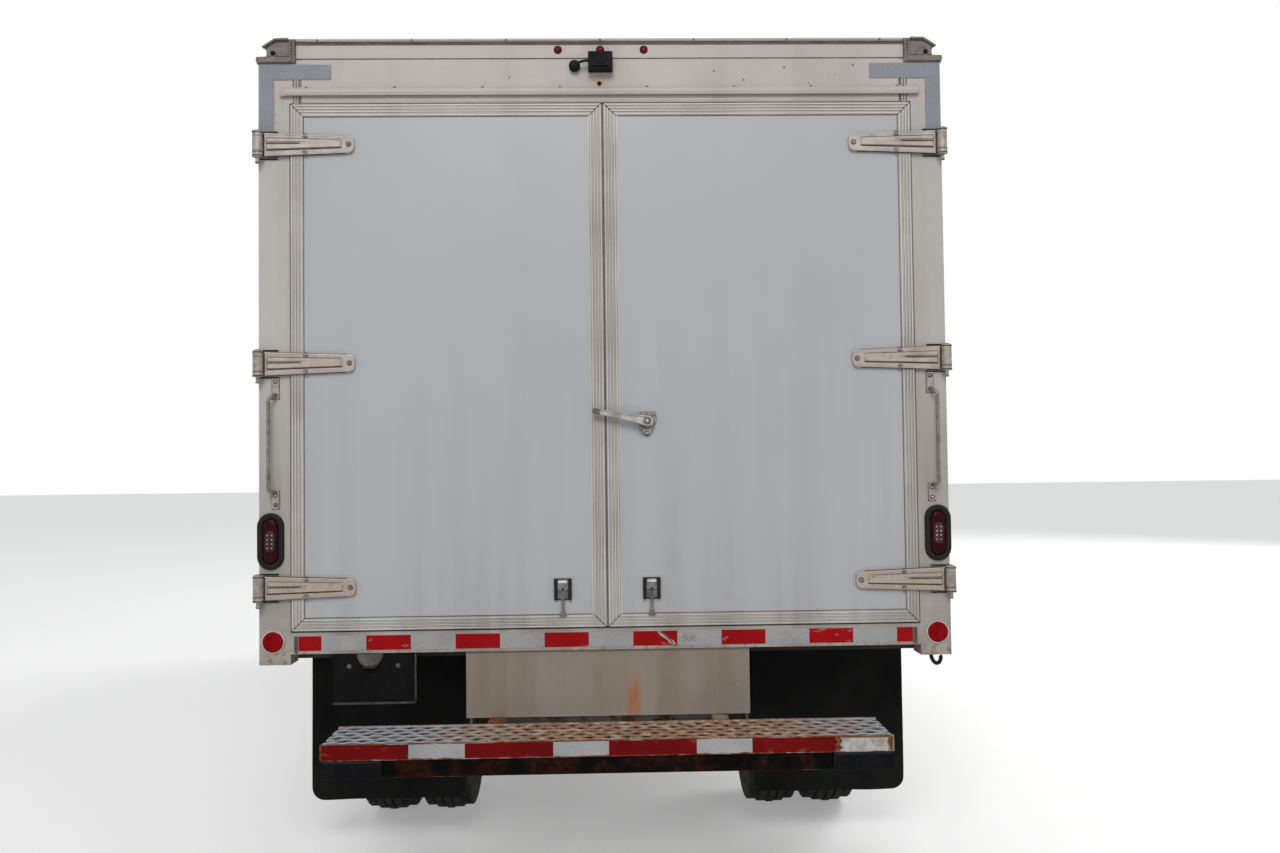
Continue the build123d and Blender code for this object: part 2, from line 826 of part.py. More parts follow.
def tyre(x, y):
    """A hollow tyre about an axle at y, its middle plane at x."""
    shoulder = tyre_radius - 17
    shoulder_half = tyre_half - 10.5
    inner_half_width = tyre_half - 27.5
    bead_out = rim_half - 9
    bead_in = rim_half - 32
    mid_height = (tyre_radius + rim_radius) / 2
    with BuildSketch(axle_view(y)) as section:
        with BuildLine():
            ThreePointArc((x - shoulder_half, shoulder), (x, tyre_radius), (x + shoulder_half, shoulder))
            ThreePointArc(
                (x - inner_half_width, shoulder - 16),
                (x, tyre_radius - 17),
                (x + inner_half_width, shoulder - 16),
            )
            for side in (-1, 1):
                ThreePointArc(
                    (x + side * shoulder_half, shoulder),
                    (x + side * tyre_half, mid_height + 6),
                    (x + side * bead_out, rim_radius + 23),
                )
                Polyline(
                    (x + side * bead_out, rim_radius + 23),
                    (x + side * bead_out, rim_radius + bead_fit),
                    (x + side * bead_in, rim_radius + bead_fit),
                    (x + side * (bead_in + 6), rim_radius + 23),
                )
                ThreePointArc(
                    (x + side * (bead_in + 6), rim_radius + 23),
                    (x + side * (tyre_half - 14.5), mid_height),
                    (x + side * inner_half_width, shoulder - 16),
                )
        make_face()
    revolve(section.sketch, axis=Axis((0, y, wheel_z), (1, 0, 0)))


# Half of the rim's section: x from its middle, and radius
rim_outside = (
    (rim_half, rim_radius + 19),
    (rim_half - 8, rim_radius + 19),
    (rim_half - 8, rim_radius),
    (rim_half - 28, rim_radius),
    (rim_half - 48, rim_radius - 25),
)
rim_inside = (
    (rim_half - 44, rim_radius - 33),
    (rim_half - 24, rim_radius - 8),
    (rim_half, rim_radius - 8),
)

# The disc's section: its mounting face stands half the twins' spacing from the rim's middle
disc_face = twin_spacing / 2
disc_thick = 10
disc_section = (
    (14, rim_radius - 29),
    (32, rim_radius - 29),
    (72, rim_radius - 43),
    (disc_face - 8, 120),
    (disc_face, 95),
    (disc_face, 20),
    (disc_face - disc_thick, 20),
    (disc_face - disc_thick, 92),
    (disc_face - 18, 112),
    (62, rim_radius - 53),
)


def rim_section(x, out):
    """A rim and its disc, which stands out towards +X (1) or -X (-1) from the middle plane at x."""
    with BuildLine() as rim:
        outside = [*rim_outside, *[(-u, v) for u, v in reversed(rim_outside)]]
        inside = [*[(-u, v) for u, v in reversed(rim_inside)], *rim_inside]
        Polyline(*[(x + u, v) for u, v in outside + inside], close=True)
    make_face(rim.edges())
    with BuildLine() as disc:
        Polyline(*[(x + out * u, v) for u, v in disc_section], close=True)
    make_face(disc.edges())


def ring_section(x, radii, mode=Mode.ADD):
    """A rectangle of the section, between two x and two radii."""
    with Locations(((x[0] + x[1]) / 2, (radii[0] + radii[1]) / 2)):
        Rectangle(abs(x[1] - x[0]), radii[1] - radii[0], mode=mode)


def hand_holes(x, y, count=8):
    """Round holes through a disc, near x, about the axle at y."""
    with Locations(Plane(origin=(x, y, wheel_z), x_dir=(0, 1, 0), z_dir=(1, 0, 0))):
        with PolarLocations(128, count):
            Cylinder(19, 60, mode=Mode.SUBTRACT)


for name, side in sides:
    x = side * front_track / 2
    with BuildPart() as tyre_front:
        tyre(x, front_axle_y)
    save(tyre_front, f"tyre_front_{name}")

    with BuildPart() as wheel_front:
        with BuildSketch(axle_view(front_axle_y)):
            rim_section(x, side)
            ring_section((x - side * 10, x + side * 178), (0, 62))
            ring_section((x + side * (disc_face - 31), x + side * (disc_face - 9)), (0, 78))
            ring_section((x + side * 50, x + side * 60), (0, drum_radius))
            ring_section((x - side * 58, x + side * 60), (drum_radius - 10, drum_radius))
            ring_section((x - side * 12, x + side * 150), (0, spindle_radius + running_fit), Mode.SUBTRACT)
        revolve(axis=Axis((0, front_axle_y, wheel_z), (1, 0, 0)))
        hand_holes(x + side * (disc_face - 25), front_axle_y)
    save(wheel_front, f"wheel_front_{name}")

    mid = side * rear_track / 2
    with BuildPart() as tyres_rear:
        for out in (-1, 1):
            tyre(mid + out * disc_face, rear_axle_y)
    save(tyres_rear, f"tyres_rear_{name}")

    with BuildPart() as wheels_rear:
        with BuildSketch(axle_view(rear_axle_y)):
            for out in (-1, 1):
                rim_section(mid + out * disc_face, -out)
            ring_section((mid - side * 85, mid + side * 118), (0, 80))
            ring_section((mid - side * 36, mid - side * 9), (0, 92))
            ring_section((mid - side * 70, mid - side * 60), (0, drum_radius))
            ring_section((side * drum_start, mid - side * 60), (drum_radius - 10, drum_radius))
            bore = rear_spindle_radius + running_fit
            ring_section((mid - side * 87, mid + side * 90), (0, bore), Mode.SUBTRACT)
        revolve(axis=Axis((0, rear_axle_y, wheel_z), (1, 0, 0)))
        hand_holes(mid, rear_axle_y)
    save(wheels_rear, f"wheels_rear_{name}")

    # The knuckle: two lugs about the king pin, a plate, a spindle and a steering arm
    pin_x = side * king_pin_x
    with BuildPart() as knuckle:
        for low, high in ((-85, -51), (51, 85)):
            bottom = (pin_x, front_axle_y, wheel_z + low)
            rod(bottom, (pin_x, front_axle_y, wheel_z + high), king_boss)
            lug = mirrored(side, king_pin_x, king_pin_x + 50)
            lug_y = (front_axle_y - king_boss, front_axle_y + king_boss)
            block(lug, lug_y, (wheel_z + low, wheel_z + high))
        plate = mirrored(side, king_pin_x + 42, king_pin_x + 65)
        block(plate, (front_axle_y - 50, front_axle_y + 50), (wheel_z - 85, wheel_z + 85))
        start = (side * (king_pin_x + 44), front_axle_y, wheel_z)
        rod(start, (side * (king_pin_x + 50), front_axle_y, wheel_z), drum_radius - 15)
        rod(start, (side * (front_track / 2 + 138), front_axle_y, wheel_z), spindle_radius)
        arm = mirrored(side, king_pin_x - 30, king_pin_x)
        block(arm, (front_axle_y - 190, front_axle_y - 10), (wheel_z - 85, wheel_z - 59))
        for low, high in ((-87, -49), (49, 87)):
            rod(
                (pin_x, front_axle_y, wheel_z + low),
                (pin_x, front_axle_y, wheel_z + high),
                king_pin_radius + pin_clearance,
                Mode.SUBTRACT,
            )
    save(knuckle, f"knuckle_{name}")

# Cab

with BuildPart() as cab_whole:
    arch_end = front_axle_y + sqrt(arch_radius**2 - (cab_bottom - wheel_z) ** 2)
    with BuildSketch(Plane.YZ) as cab_side:
        with BuildLine():
            Polyline(
                (front_axle_y, cab_floor_bottom),
                (cab_back, cab_floor_bottom),
                (cab_back, cab_roof - 60),
                (cab_back + 250, cab_roof),
                roof_corner,
                belt_corner,
                (cab_front, belt - 90),
                (cab_front, cab_bottom),
                (arch_end, cab_bottom),
            )
            RadiusArc((arch_end, cab_bottom), (front_axle_y, cab_floor_bottom), -arch_radius)
        make_face()
        rounded = cab_side.vertices().filter_by(lambda v: v.Y > belt - 120)
        fillet(rounded, 50)
    extrude(amount=cab_half, both=True)
    long_edges = cab_whole.edges().filter_by(lambda e: abs(abs(e.center().X) - cab_half) < 1)
    fillet(long_edges.filter_by(lambda e: e.center().Z > cab_floor), 55)
    # The space inside, above the floor
    with BuildSketch(Plane.YZ):
        with BuildLine():
            Polyline(
                (cab_back + cab_wall, cab_floor),
                (cab_back + cab_wall, cab_roof - 60 - cab_wall),
                (cab_back + 260, cab_roof - cab_wall),
                (roof_corner[0] - 30, roof_corner[1] - cab_wall),
                (belt_corner[0] - cab_wall, belt_corner[1] - 10),
                (cab_front - cab_wall, belt - 100),
                (cab_front - cab_wall, cab_floor),
                close=True,
            )
        make_face()
    extrude(amount=cab_inner, both=True, mode=Mode.SUBTRACT)
    # Under the floor only the skirts and the lower front stay
    block(
        (-cab_inner, cab_inner),
        (cab_back - 1, cab_front - cab_wall),
        (cab_bottom - 1, cab_floor_bottom),
        Mode.SUBTRACT,
    )
    # The tunnel over the engine
    block((-tunnel_half, tunnel_half), (cab_back, tunnel_front), (cab_floor_bottom, tunnel_top))
    block(
        (tunnel_wall - tunnel_half, tunnel_half - tunnel_wall),
        (cab_back - 1, tunnel_front - tunnel_wall),
        (cab_floor_bottom - 1, tunnel_top - tunnel_wall),
        Mode.SUBTRACT,
    )
    # Openings for the rear window and the windscreen
    slope = Vector(0, belt_corner[0] - roof_corner[0], belt_corner[1] - roof_corner[1])
    screen_middle = (0, (belt_corner[0] + roof_corner[0]) / 2, (belt_corner[1] + roof_corner[1]) / 2)
    screen_plane = Plane(origin=screen_middle, x_dir=(1, 0, 0), z_dir=Vector(1, 0, 0).cross(slope))
    with BuildSketch(screen_plane):
        RectangleRounded(*screen_size, 70)
    extrude(amount=90, both=True, mode=Mode.SUBTRACT)
    with BuildSketch(rear_view(cab_back)):
        with Locations((0, rear_window_z)):
            RectangleRounded(*rear_window_size, 60)
    extrude(amount=70, both=True, mode=Mode.SUBTRACT)

# Cab door outline, seen from the side: y and z
cab_door_points = (
    (cab_door_rear, cab_door_bottom),
    (cab_door_rear, cab_door_top),
    (cab_door_front - 170, cab_door_top),
    (cab_door_front, belt + 20),
    (cab_door_front, cab_door_bottom),
)
window_points = (
    (cab_door_rear + 70, belt + 90),
    (cab_door_rear + 70, cab_door_top - 70),
    (cab_door_front - 225, cab_door_top - 70),
    (cab_door_front - 90, belt + 90),
)
front_panel = (
    (-cab_half - 1, cab_half + 1),
    (cab_front - cab_wall, cab_front + 1),
    (cab_bottom - 1, belt - 100),
)

with BuildPart() as cab_shell:
    add(cab_whole.part)
    block(*front_panel, Mode.SUBTRACT)
    for side in (-1, 1):
        with BuildSketch(Plane.YZ.offset(side * cab_inner)):
            with BuildLine():
                Polyline(*cab_door_points, close=True)
            make_face()
            offset(amount=door_gap)
        extrude(amount=side * (cab_wall + 10), mode=Mode.SUBTRACT)
        # Seat riser beside the tunnel
        riser_y = (seat_back_y + 100, seat_back_y + 550)
        riser_z = (cab_floor - 1, cab_floor + seat_height)
        block(mirrored(side, tunnel_half + 10, 720), riser_y, riser_z)
        # Arm that turns on the pivot tube
        arm = mirrored(side, *cab_arm_x)
        block(arm, (pivot_y - 25, pivot_y + 25), (pivot_z, cab_floor_bottom + 1))
        arm_ends = ((arm[0], pivot_y, pivot_z), (arm[1], pivot_y, pivot_z))
        rod(*arm_ends, pivot_boss)
        rod(*arm_ends, pivot_radius + pin_clearance, Mode.SUBTRACT)
        # Fixed halves of the cab door's hinges
        for z in cab_hinge_heights:
            x = side * cab_hinge_x
            top = z + 2 * cab_hinge_half
            rod((x, cab_hinge_y, z), (x, cab_hinge_y, z + cab_hinge_half), cab_barrel)
            rod((x, cab_hinge_y, z), (x, cab_hinge_y, top), cab_pin)
            leaf_y = (cab_hinge_y + 4, cab_hinge_y + 55)
            block(mirrored(side, cab_half - 1, cab_half + 8), leaf_y, (z, z + cab_hinge_half))
save(cab_shell, "cab_shell")

with BuildPart() as cab_front_panel:
    add(cab_whole.part)
    block(*front_panel, Mode.INTERSECT)
    cut_y = (cab_front - cab_wall - 20, cab_front + 1)
    for z in grille_slots:
        block((-grille_half, grille_half), cut_y, (z, z + grille_slot), Mode.SUBTRACT)
    for side in (-1, 1):
        block(mirrored(side, *lamp_box[0]), cut_y, lamp_box[1], Mode.SUBTRACT)
save(cab_front_panel, "cab_front_panel")

with BuildPart() as headlamps:
    for side in (-1, 1):
        block(
            mirrored(side, lamp_box[0][0] + glass_fit, lamp_box[0][1] - glass_fit),
            (cab_front - 38, cab_front + 4),
            (lamp_box[1][0] + glass_fit, lamp_box[1][1] - glass_fit),
        )
save(headlamps, "headlamps")

with BuildPart() as cab_glass:
    with BuildSketch(screen_plane.offset(-14)):
        RectangleRounded(screen_size[0] - 2 * glass_fit, screen_size[1] - 2 * glass_fit, 70 - glass_fit)
    extrude(amount=-glass_thick)
    with BuildSketch(rear_view(cab_back + 20)):
        with Locations((0, rear_window_z)):
            glass_size = [length - 2 * glass_fit for length in rear_window_size]
            RectangleRounded(*glass_size, 60 - glass_fit)
    extrude(amount=glass_thick)
save(cab_glass, "cab_glass")

with BuildPart() as dashboard:
    with BuildSketch(Plane.YZ.offset(5 - cab_inner)) as dash_side:
        with BuildLine():
            Polyline(
                (dash_back, dash_z),
                (dash_back, dash_z + 170),
                (dash_back + 90, dash_z + 225),
                (dash_back + 215, dash_z + 235),
                (cab_front - cab_wall, dash_z + 120),
                (cab_front - cab_wall, dash_z),
                close=True,
            )
        make_face()
        rear_edge = dash_side.vertices().filter_by(lambda v: v.X < dash_back + 110)
        fillet(rear_edge.filter_by(lambda v: v.Y > dash_z + 150), 40)
    extrude(amount=2 * (cab_inner - 5))
save(dashboard, "dashboard")

with BuildPart() as seats:
    seat_z = cab_floor + seat_height
    for low, high in seat_spans:
        with BuildSketch(Plane.YZ.offset(low)) as seat_side:
            with BuildLine():
                Polyline(
                    (seat_back_y + 110, seat_z),
                    (seat_back_y + 590, seat_z),
                    (seat_back_y + 600, seat_z + 130),
                    (seat_back_y + 210, seat_z + 115),
                    (seat_back_y + 110, seat_z + 690),
                    (seat_back_y, seat_z + 690),
                    (seat_back_y + 50, seat_z),
                    close=True,
                )
            make_face()
            fillet(seat_side.vertices().filter_by(lambda v: v.Y > seat_z + 30), 35)
        extrude(amount=high - low)
save(seats, "seats")

wheel_hub = Vector(hub_x, cab_front - 498, cab_floor + 430)
column_way = Vector(0, 0.64, -0.768)
with BuildPart() as steering_wheel:
    rim_plane = Plane(origin=wheel_hub, x_dir=(1, 0, 0), z_dir=-column_way)
    with Locations(rim_plane):
        Torus(wheel_ring, 14)
        Cylinder(42, 40)
        for turn in (90, 210, 330):
            with Locations(Rotation(0, 0, turn)):
                Box(wheel_ring - 5, 26, 14, align=(Align.MIN, Align.CENTER, Align.CENTER))
    foot = wheel_hub + column_way * ((wheel_hub.Z - cab_floor - 20) / -column_way.Z)
    rod(tuple(wheel_hub), tuple(foot), 25)
    block((foot.X - 45, foot.X + 45), (foot.Y - 45, foot.Y + 45), (cab_floor, cab_floor + 40))
save(steering_wheel, "steering_wheel")

arm_low = (cab_front - 148, belt + 50)
arm_high = (cab_front - 323, cab_door_top - 110)
with BuildPart() as mirrors:
    for side in (-1, 1):
        with BuildLine() as arm_line:
            FilletPolyline(
                (side * (cab_half + 10), *arm_low),
                (side * mirror_x, mirror_y, arm_low[1]),
                (side * mirror_x, mirror_y, arm_high[1]),
                (side * (cab_half + 10), *arm_high),
                radius=45,
            )
        with BuildSketch(Plane(origin=arm_line.line @ 0, z_dir=arm_line.line % 0)):
            Circle(10)
        sweep()
        for y, z in (arm_low, arm_high):
            block(mirrored(side, cab_half, cab_half + 12), (y - 25, y + 25), (z - 30, z + 30))
        head_x = mirrored(side, mirror_x - mirror_size[0] / 2, mirror_x + mirror_size[0] / 2)
        head_z = (arm_low[1] + 100, arm_low[1] + 100 + mirror_size[1])
        block(head_x, (mirror_y - 30, mirror_y + 45), head_z)
    long_edges = mirrors.edges().filter_by(Axis.Z).filter_by(lambda e: e.length > mirror_size[1] - 50)
    fillet(long_edges, 28)
save(mirrors, "mirrors")

for name, side in sides:
    skin = Plane.YZ.offset(side * cab_inner)
    with BuildPart() as cab_door:
        with BuildSketch(skin):
            with BuildLine():
                Polyline(*cab_door_points, close=True)
            make_face()
            with BuildLine():
                Polyline(*window_points, close=True)
            make_face(mode=Mode.SUBTRACT)
        extrude(amount=side * cab_wall)
        for z in cab_hinge_heights:
            x = side * cab_hinge_x
            low = z + cab_hinge_half + 1
            high = z + 2 * cab_hinge_half
            rod((x, cab_hinge_y, low), (x, cab_hinge_y, high), cab_barrel)
            leaf_y = (cab_hinge_y - 55, cab_hinge_y - 6)
            block(mirrored(side, cab_half, cab_half + 8), leaf_y, (low, high))
            bore_radius = cab_pin + pin_clearance
            rod((x, cab_hinge_y, low - 1), (x, cab_hinge_y, high + 2), bore_radius, Mode.SUBTRACT)
    save(cab_door, f"cab_door_{name}")

    with BuildPart() as door_glass:
        with BuildSketch(Plane.YZ.offset(side * (cab_inner + 17))):
            with BuildLine():
                Polyline(*window_points, close=True)
            make_face()
            offset(amount=-glass_fit)
        extrude(amount=side * glass_thick)
    save(door_glass, f"door_glass_{name}")
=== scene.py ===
import math
import random

import bmesh
import bpy
from mathutils import Matrix, Vector


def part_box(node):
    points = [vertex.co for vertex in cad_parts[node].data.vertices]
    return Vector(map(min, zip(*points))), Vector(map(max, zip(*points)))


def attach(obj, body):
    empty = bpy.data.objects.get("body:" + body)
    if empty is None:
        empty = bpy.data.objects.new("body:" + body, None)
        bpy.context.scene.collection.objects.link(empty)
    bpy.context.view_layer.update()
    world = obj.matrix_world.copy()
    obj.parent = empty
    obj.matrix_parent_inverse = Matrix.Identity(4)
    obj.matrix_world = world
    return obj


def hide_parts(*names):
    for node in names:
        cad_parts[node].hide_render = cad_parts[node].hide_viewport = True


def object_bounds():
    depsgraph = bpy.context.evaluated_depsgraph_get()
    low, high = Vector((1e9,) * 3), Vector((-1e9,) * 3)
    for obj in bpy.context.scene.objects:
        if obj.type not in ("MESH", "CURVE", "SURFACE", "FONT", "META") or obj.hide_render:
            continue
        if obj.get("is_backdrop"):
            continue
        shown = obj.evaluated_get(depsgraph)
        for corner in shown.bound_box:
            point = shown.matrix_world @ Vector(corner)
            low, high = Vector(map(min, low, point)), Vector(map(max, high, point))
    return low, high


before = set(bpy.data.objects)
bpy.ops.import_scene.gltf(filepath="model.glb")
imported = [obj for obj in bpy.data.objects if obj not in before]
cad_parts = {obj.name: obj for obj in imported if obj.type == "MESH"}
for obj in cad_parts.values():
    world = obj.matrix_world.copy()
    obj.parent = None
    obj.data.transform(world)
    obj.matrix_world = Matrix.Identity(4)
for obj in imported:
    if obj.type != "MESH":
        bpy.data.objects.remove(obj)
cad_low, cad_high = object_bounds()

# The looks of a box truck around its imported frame. Shapes are written in millimetres in the
# truck's own frame, +X right, +Y forward, +Z up, and become metres when a piece is closed.

random.seed(11)

body_rear = -2871.5
body_front = 1395.5
box_start = body_rear + 100
rear_y = -3238.5
door_face = body_rear - 5
half_body = 1219
inner_half = 1179
roof_top = 3028
deck_top = 943
rear_axle_y = -1721.5
front_axle_y = 2088.5
cab_back = 1545.5
cab_front = 3178
cab_half = 1000
cab_roof = 2235
bumper_face = 3238.5
wheel_z = 385
hinge_x = 1215
hinge_heights = (1100, 1886, 2662)
hub_x, hub_z = 146, 1671
sides = (("left", -1), ("right", 1))


# Camera

camera = bpy.data.objects.new("camera", bpy.data.cameras.new("camera"))
bpy.context.scene.collection.objects.link(camera)
bpy.context.scene.camera = camera


def aim_camera(position, yaw, pitch, roll, focal_pixels, width_pixels=1280):
    """Angles are in degrees: yaw turns left of +Y, pitch looks up, and roll tips the picture."""
    yaw, pitch, roll = (math.radians(angle) for angle in (yaw, pitch, roll))
    ahead = Vector((-math.sin(yaw), math.cos(yaw), 0))
    across = Vector((math.cos(yaw), math.sin(yaw), 0))
    forward = math.cos(pitch) * ahead + Vector((0, 0, math.sin(pitch)))
    upward = -math.sin(pitch) * ahead + Vector((0, 0, math.cos(pitch)))
    right = math.cos(roll) * across + math.sin(roll) * upward
    top = -math.sin(roll) * across + math.cos(roll) * upward
    turn = Matrix((right, top, -forward)).transposed().to_4x4()
    camera.matrix_world = Matrix.Translation(position) @ turn
    camera.data.sensor_width = 36
    camera.data.lens = focal_pixels / width_pixels * 36
    camera.data.clip_start = 0.05
    camera.data.clip_end = 200


aim_camera((0.0178, -6.9093, 1.528), -1.477, 1.763, -0.682, 1139)


# Materials. A tone is a socket, or a colour as seen on a screen, 0 to 255


def linear(tone):
    """A colour as seen on a screen as the shader's linear values."""
    steps = [value / 255 for value in tone]
    return (*[s / 12.92 if s <= 0.04045 else ((s + 0.055) / 1.055) ** 2.4 for s in steps], 1)


def shade(tone, share):
    return tuple(value * share for value in tone)


class Look:
    """A procedural material whose patterns lie in the object's own space."""

    def __init__(self, name, gloss=0.5, metal=0.0, **sockets):
        self.material = bpy.data.materials.new(name)
        self.material.use_nodes = True
        self.tree = self.material.node_tree
        self.shader = self.tree.nodes["Principled BSDF"]
        sockets |= {"Specular_IOR_Level": gloss, "Metallic": metal}
        for socket, value in sockets.items():
            self.shader.inputs[socket.replace("_", " ")].default_value = value
        self.place = self.add("TexCoord").outputs["Object"]
        split = self.add("SeparateXYZ")
        self.feed(split.inputs[0], self.place)
        self.x, self.y, self.z = split.outputs

    def add(self, kind, **settings):
        node = self.tree.nodes.new("ShaderNode" + kind)
        for key, value in settings.items():
            setattr(node, key, value)
        return node

    def feed(self, socket, value):
        if isinstance(value, bpy.types.NodeSocket):
            self.tree.links.new(value, socket)
        else:
            socket.default_value = value

    def noise(self, scale, detail=2, low=0.0, high=1.0, stretch=None):
        node = self.add("TexNoise")
        place = self.place
        if stretch:
            mapping = self.add("Mapping")
            self.feed(mapping.inputs["Vector"], place)
            mapping.inputs["Scale"].default_value = stretch
            place = mapping.outputs[0]
        self.feed(node.inputs["Vector"], place)
        node.inputs["Scale"].default_value = scale
        node.inputs["Detail"].default_value = detail
        return self.span(node.outputs[0], low, high) if (low, high) != (0.0, 1.0) else node.outputs[0]

    def uneven(self, scale, low, high, detail=3):
        """A roughness that wanders between two values."""
        return self.span(self.noise(scale, detail), 0.3, 0.7, low, high)

    def cells(self, scale, feature="DISTANCE_TO_EDGE"):
        node = self.add("TexVoronoi", feature=feature)
        self.feed(node.inputs["Vector"], self.place)
        node.inputs["Scale"].default_value = scale
        return node.outputs["Distance"]

    def wave(self, scale, direction):
        node = self.add("TexWave", bands_direction=direction)
        self.feed(node.inputs["Vector"], self.place)
        node.inputs["Scale"].default_value = scale
        return node.outputs["Fac"]

    def span(self, value, low, high, out_low=0.0, out_high=1.0):
        node = self.add("MapRange")
        for socket, number in zip(node.inputs, (value, low, high, out_low, out_high)):
            self.feed(socket, number)
        return node.outputs[0]

    def calc(self, operation, first, second=0.0):
        node = self.add("Math", operation=operation)
        self.feed(node.inputs[0], first)
        self.feed(node.inputs[1], second)
        return node.outputs[0]

    def least(self, first, second):
        return self.calc("MINIMUM", first, second)

    def minus(self, first, second):
        return self.calc("SUBTRACT", first, second)

    def off(self, value, middle=0.0):
        """How far a value is from a middle one."""
        return self.calc("ABSOLUTE", self.minus(value, middle) if middle else value)

    def times(self, *values):
        result = values[0]
        for value in values[1:]:
            result = self.calc("MULTIPLY", result, value)
        return result

    def within(self, value, low, high, soft):
        """1 where a coordinate in metres lies between two values."""
        return self.times(
            self.span(value, low - soft, low), self.span(value, high, high + soft, 1.0, 0.0)
        )

    def near(self, point, reach):
        """1 at a point in millimetres, falling to 0 at the reach."""
        node = self.add("VectorMath", operation="DISTANCE")
        self.feed(node.inputs[0], self.place)
        node.inputs[1].default_value = [value / 1000 for value in point]
        return self.span(node.outputs["Value"], 0.0, reach / 1000, 1.0, 0.0)

    def mix(self, amount, first, second):
        node = self.add("Mix", data_type="RGBA")
        self.feed(node.inputs[0], amount)
        for socket, tone in ((node.inputs[6], first), (node.inputs[7], second)):
            self.feed(socket, linear(tone) if isinstance(tone, tuple) else tone)
        return node.outputs[2]

    def patches(self, light, dark, scale, detail=4, low=0.3, high=0.7):
        return self.mix(self.noise(scale, detail, low, high), light, dark)

    def close(self, tone, rough, *heights):
        """heights: (height, depth in millimetres), the broadest first."""
        self.feed(self.shader.inputs["Base Color"], tone)
        self.feed(self.shader.inputs["Roughness"], rough)
        normal = None
        for height, depth in heights:
            node = self.add("Bump")
            node.inputs["Distance"].default_value = depth / 1000
            self.feed(node.inputs["Height"], height)
            if normal is not None:
                self.feed(node.inputs["Normal"], normal)
            normal = node.outputs[0]
        if normal is not None:
            self.feed(self.shader.inputs["Normal"], normal)
        return self.material

    def surface(self, shader):
        self.feed(self.tree.nodes["Material Output"].inputs["Surface"], shader)


def plain(name, light, dark, rough, scale, grain, depth, gloss=0.5, metal=0.0):
    """A finish with soft patches of two tones, uneven gloss and a fine grain."""
    look = Look(name, gloss, metal)
    tone = look.patches(light, dark, scale, 5, 0.35, 0.68)
    return look.close(tone, look.uneven(scale * 3, *rough), (look.noise(grain), depth))


def weathered(look, tone, dirt=(96, 86, 72), low=0.6, high=3.2, amount=0.5):
    """Grime that runs down and thickens towards the ground."""
    streaks = look.noise(9, 5, 0.45, 0.75, (1, 1, 0.06))
    height = look.span(look.z, low, high, 1.0, 0.15)
    return look.mix(look.times(streaks, height, amount), tone, dirt)


def specks(look, tone, scale, size, dark=(70, 62, 54)):
    """Small chips and spots scattered over the paint."""
    spots = look.span(look.cells(scale, "F1"), size * 0.7, size, 1.0, 0.0)
    some = look.noise(2.3, 2, 0.5, 0.62)
    return look.mix(look.times(spots, some, 0.75), tone, dark)


def make_frame_paint():
    """Grey paint, rosier on the header, darker low down with grime and painted shade, and rust in a few known
    places.
    """
    look = Look("frame_paint", 0.3)
    tone = look.patches((182, 178, 173), (172, 167, 161), 2.2, 5, 0.35)
    rosy = look.patches((184, 176, 170), (174, 166, 160), 3.1)
    tone = look.mix(look.span(look.z, 2.81, 2.82), tone, rosy)
    tone = weathered(look, tone, amount=0.55)
    # Darker towards the bottom: grime, and painted shade on the lower posts
    low_shade_and_grime = look.times(look.span(look.z, 0.95, 1.9, 1.0, 0.0), look.noise(6, 4, 0.2, 0.6), 0.55)
    tone = look.mix(low_shade_and_grime, tone, (116, 106, 96))
    tone = specks(look, tone, 22, 0.05)
    yellow = look.times(look.near((-9, body_rear, 2878), 34), look.noise(60, 3, 0.3, 0.6))
    tone = look.mix(yellow, tone, (176, 140, 84))
    over_hinge = look.times(look.near((-1186, body_rear, 2745), 50), look.noise(150, 2, 0.5, 0.6))
    tone = look.mix(over_hinge, tone, (84, 66, 50))
    low_rust = look.times(look.span(look.z, 0.83, 0.90, 1.0, 0.0), look.noise(40, 4, 0.5, 0.62))
    tone = look.mix(low_rust, tone, (128, 86, 56))
    return look.close(tone, look.uneven(14, 0.42, 0.62), (look.noise(2.5), 1.5), (look.noise(320), 0.04))


def make_door_look():
    """Smooth grey panel inside, warm painted mouldings round the edge with painted shade in their flutes'
    grooves, pale lining on the inner face.
    """
    look = Look("door_panel_paint", 0.3)
    panel = look.patches((174, 175, 178), (167, 168, 171), 1.1)
    wipe = look.noise(3.2, 5, 0.42, 0.75, (0.5, 1, 0.16))
    panel = look.mix(look.times(wipe, 0.3), panel, (180, 180, 181))
    panel = weathered(look, panel, (140, 134, 126), 0.9, 2.2, 0.35)
    panel = specks(look, panel, 12, 0.02, (120, 112, 104))
    moulding = look.patches((198, 194, 189), (180, 175, 168), 5, 4, 0.35)
    moulding = weathered(look, moulding)
    reach = look.off(look.x)
    edge = look.least(look.minus(reach, 0.003), look.minus(1.105, reach))
    edge = look.least(edge, look.least(look.minus(look.z, 0.948), look.minus(2.809, look.z)))
    # Thin dark lines in the grooves of the flutes: painted shade, stronger in some patches
    lines = 0.0
    for inset in (1.0, 8.6, 13.4, 19.6, 24.4, 30.6, 35.4, 43.6):
        line = look.span(look.off(edge, inset / 1000), 0.0006, 0.0018, 1.0, 0.0)
        lines = look.calc("MAXIMUM", lines, line)
    lines = look.times(lines, look.span(look.noise(3, 4, 0.25, 0.6), 0, 1, 0.35, 0.8))
    moulding = look.mix(lines, moulding, (92, 84, 76))
    across = look.within(reach, 0.0532, 1.0598, 0.0004)
    inside = look.times(across, look.within(look.z, 0.9932, 2.7638, 0.0004))
    tone = look.mix(inside, moulding, panel)
    lining = look.patches((206, 204, 196), (190, 187, 178), 4, 4, 0.35)
    tone = look.mix(look.span(look.y, -2.8600, -2.8590), tone, lining)
    return look.close(tone, look.uneven(7, 0.30, 0.46, 4), (look.noise(1.6, 1), 2.2), (look.noise(60), 0.03))


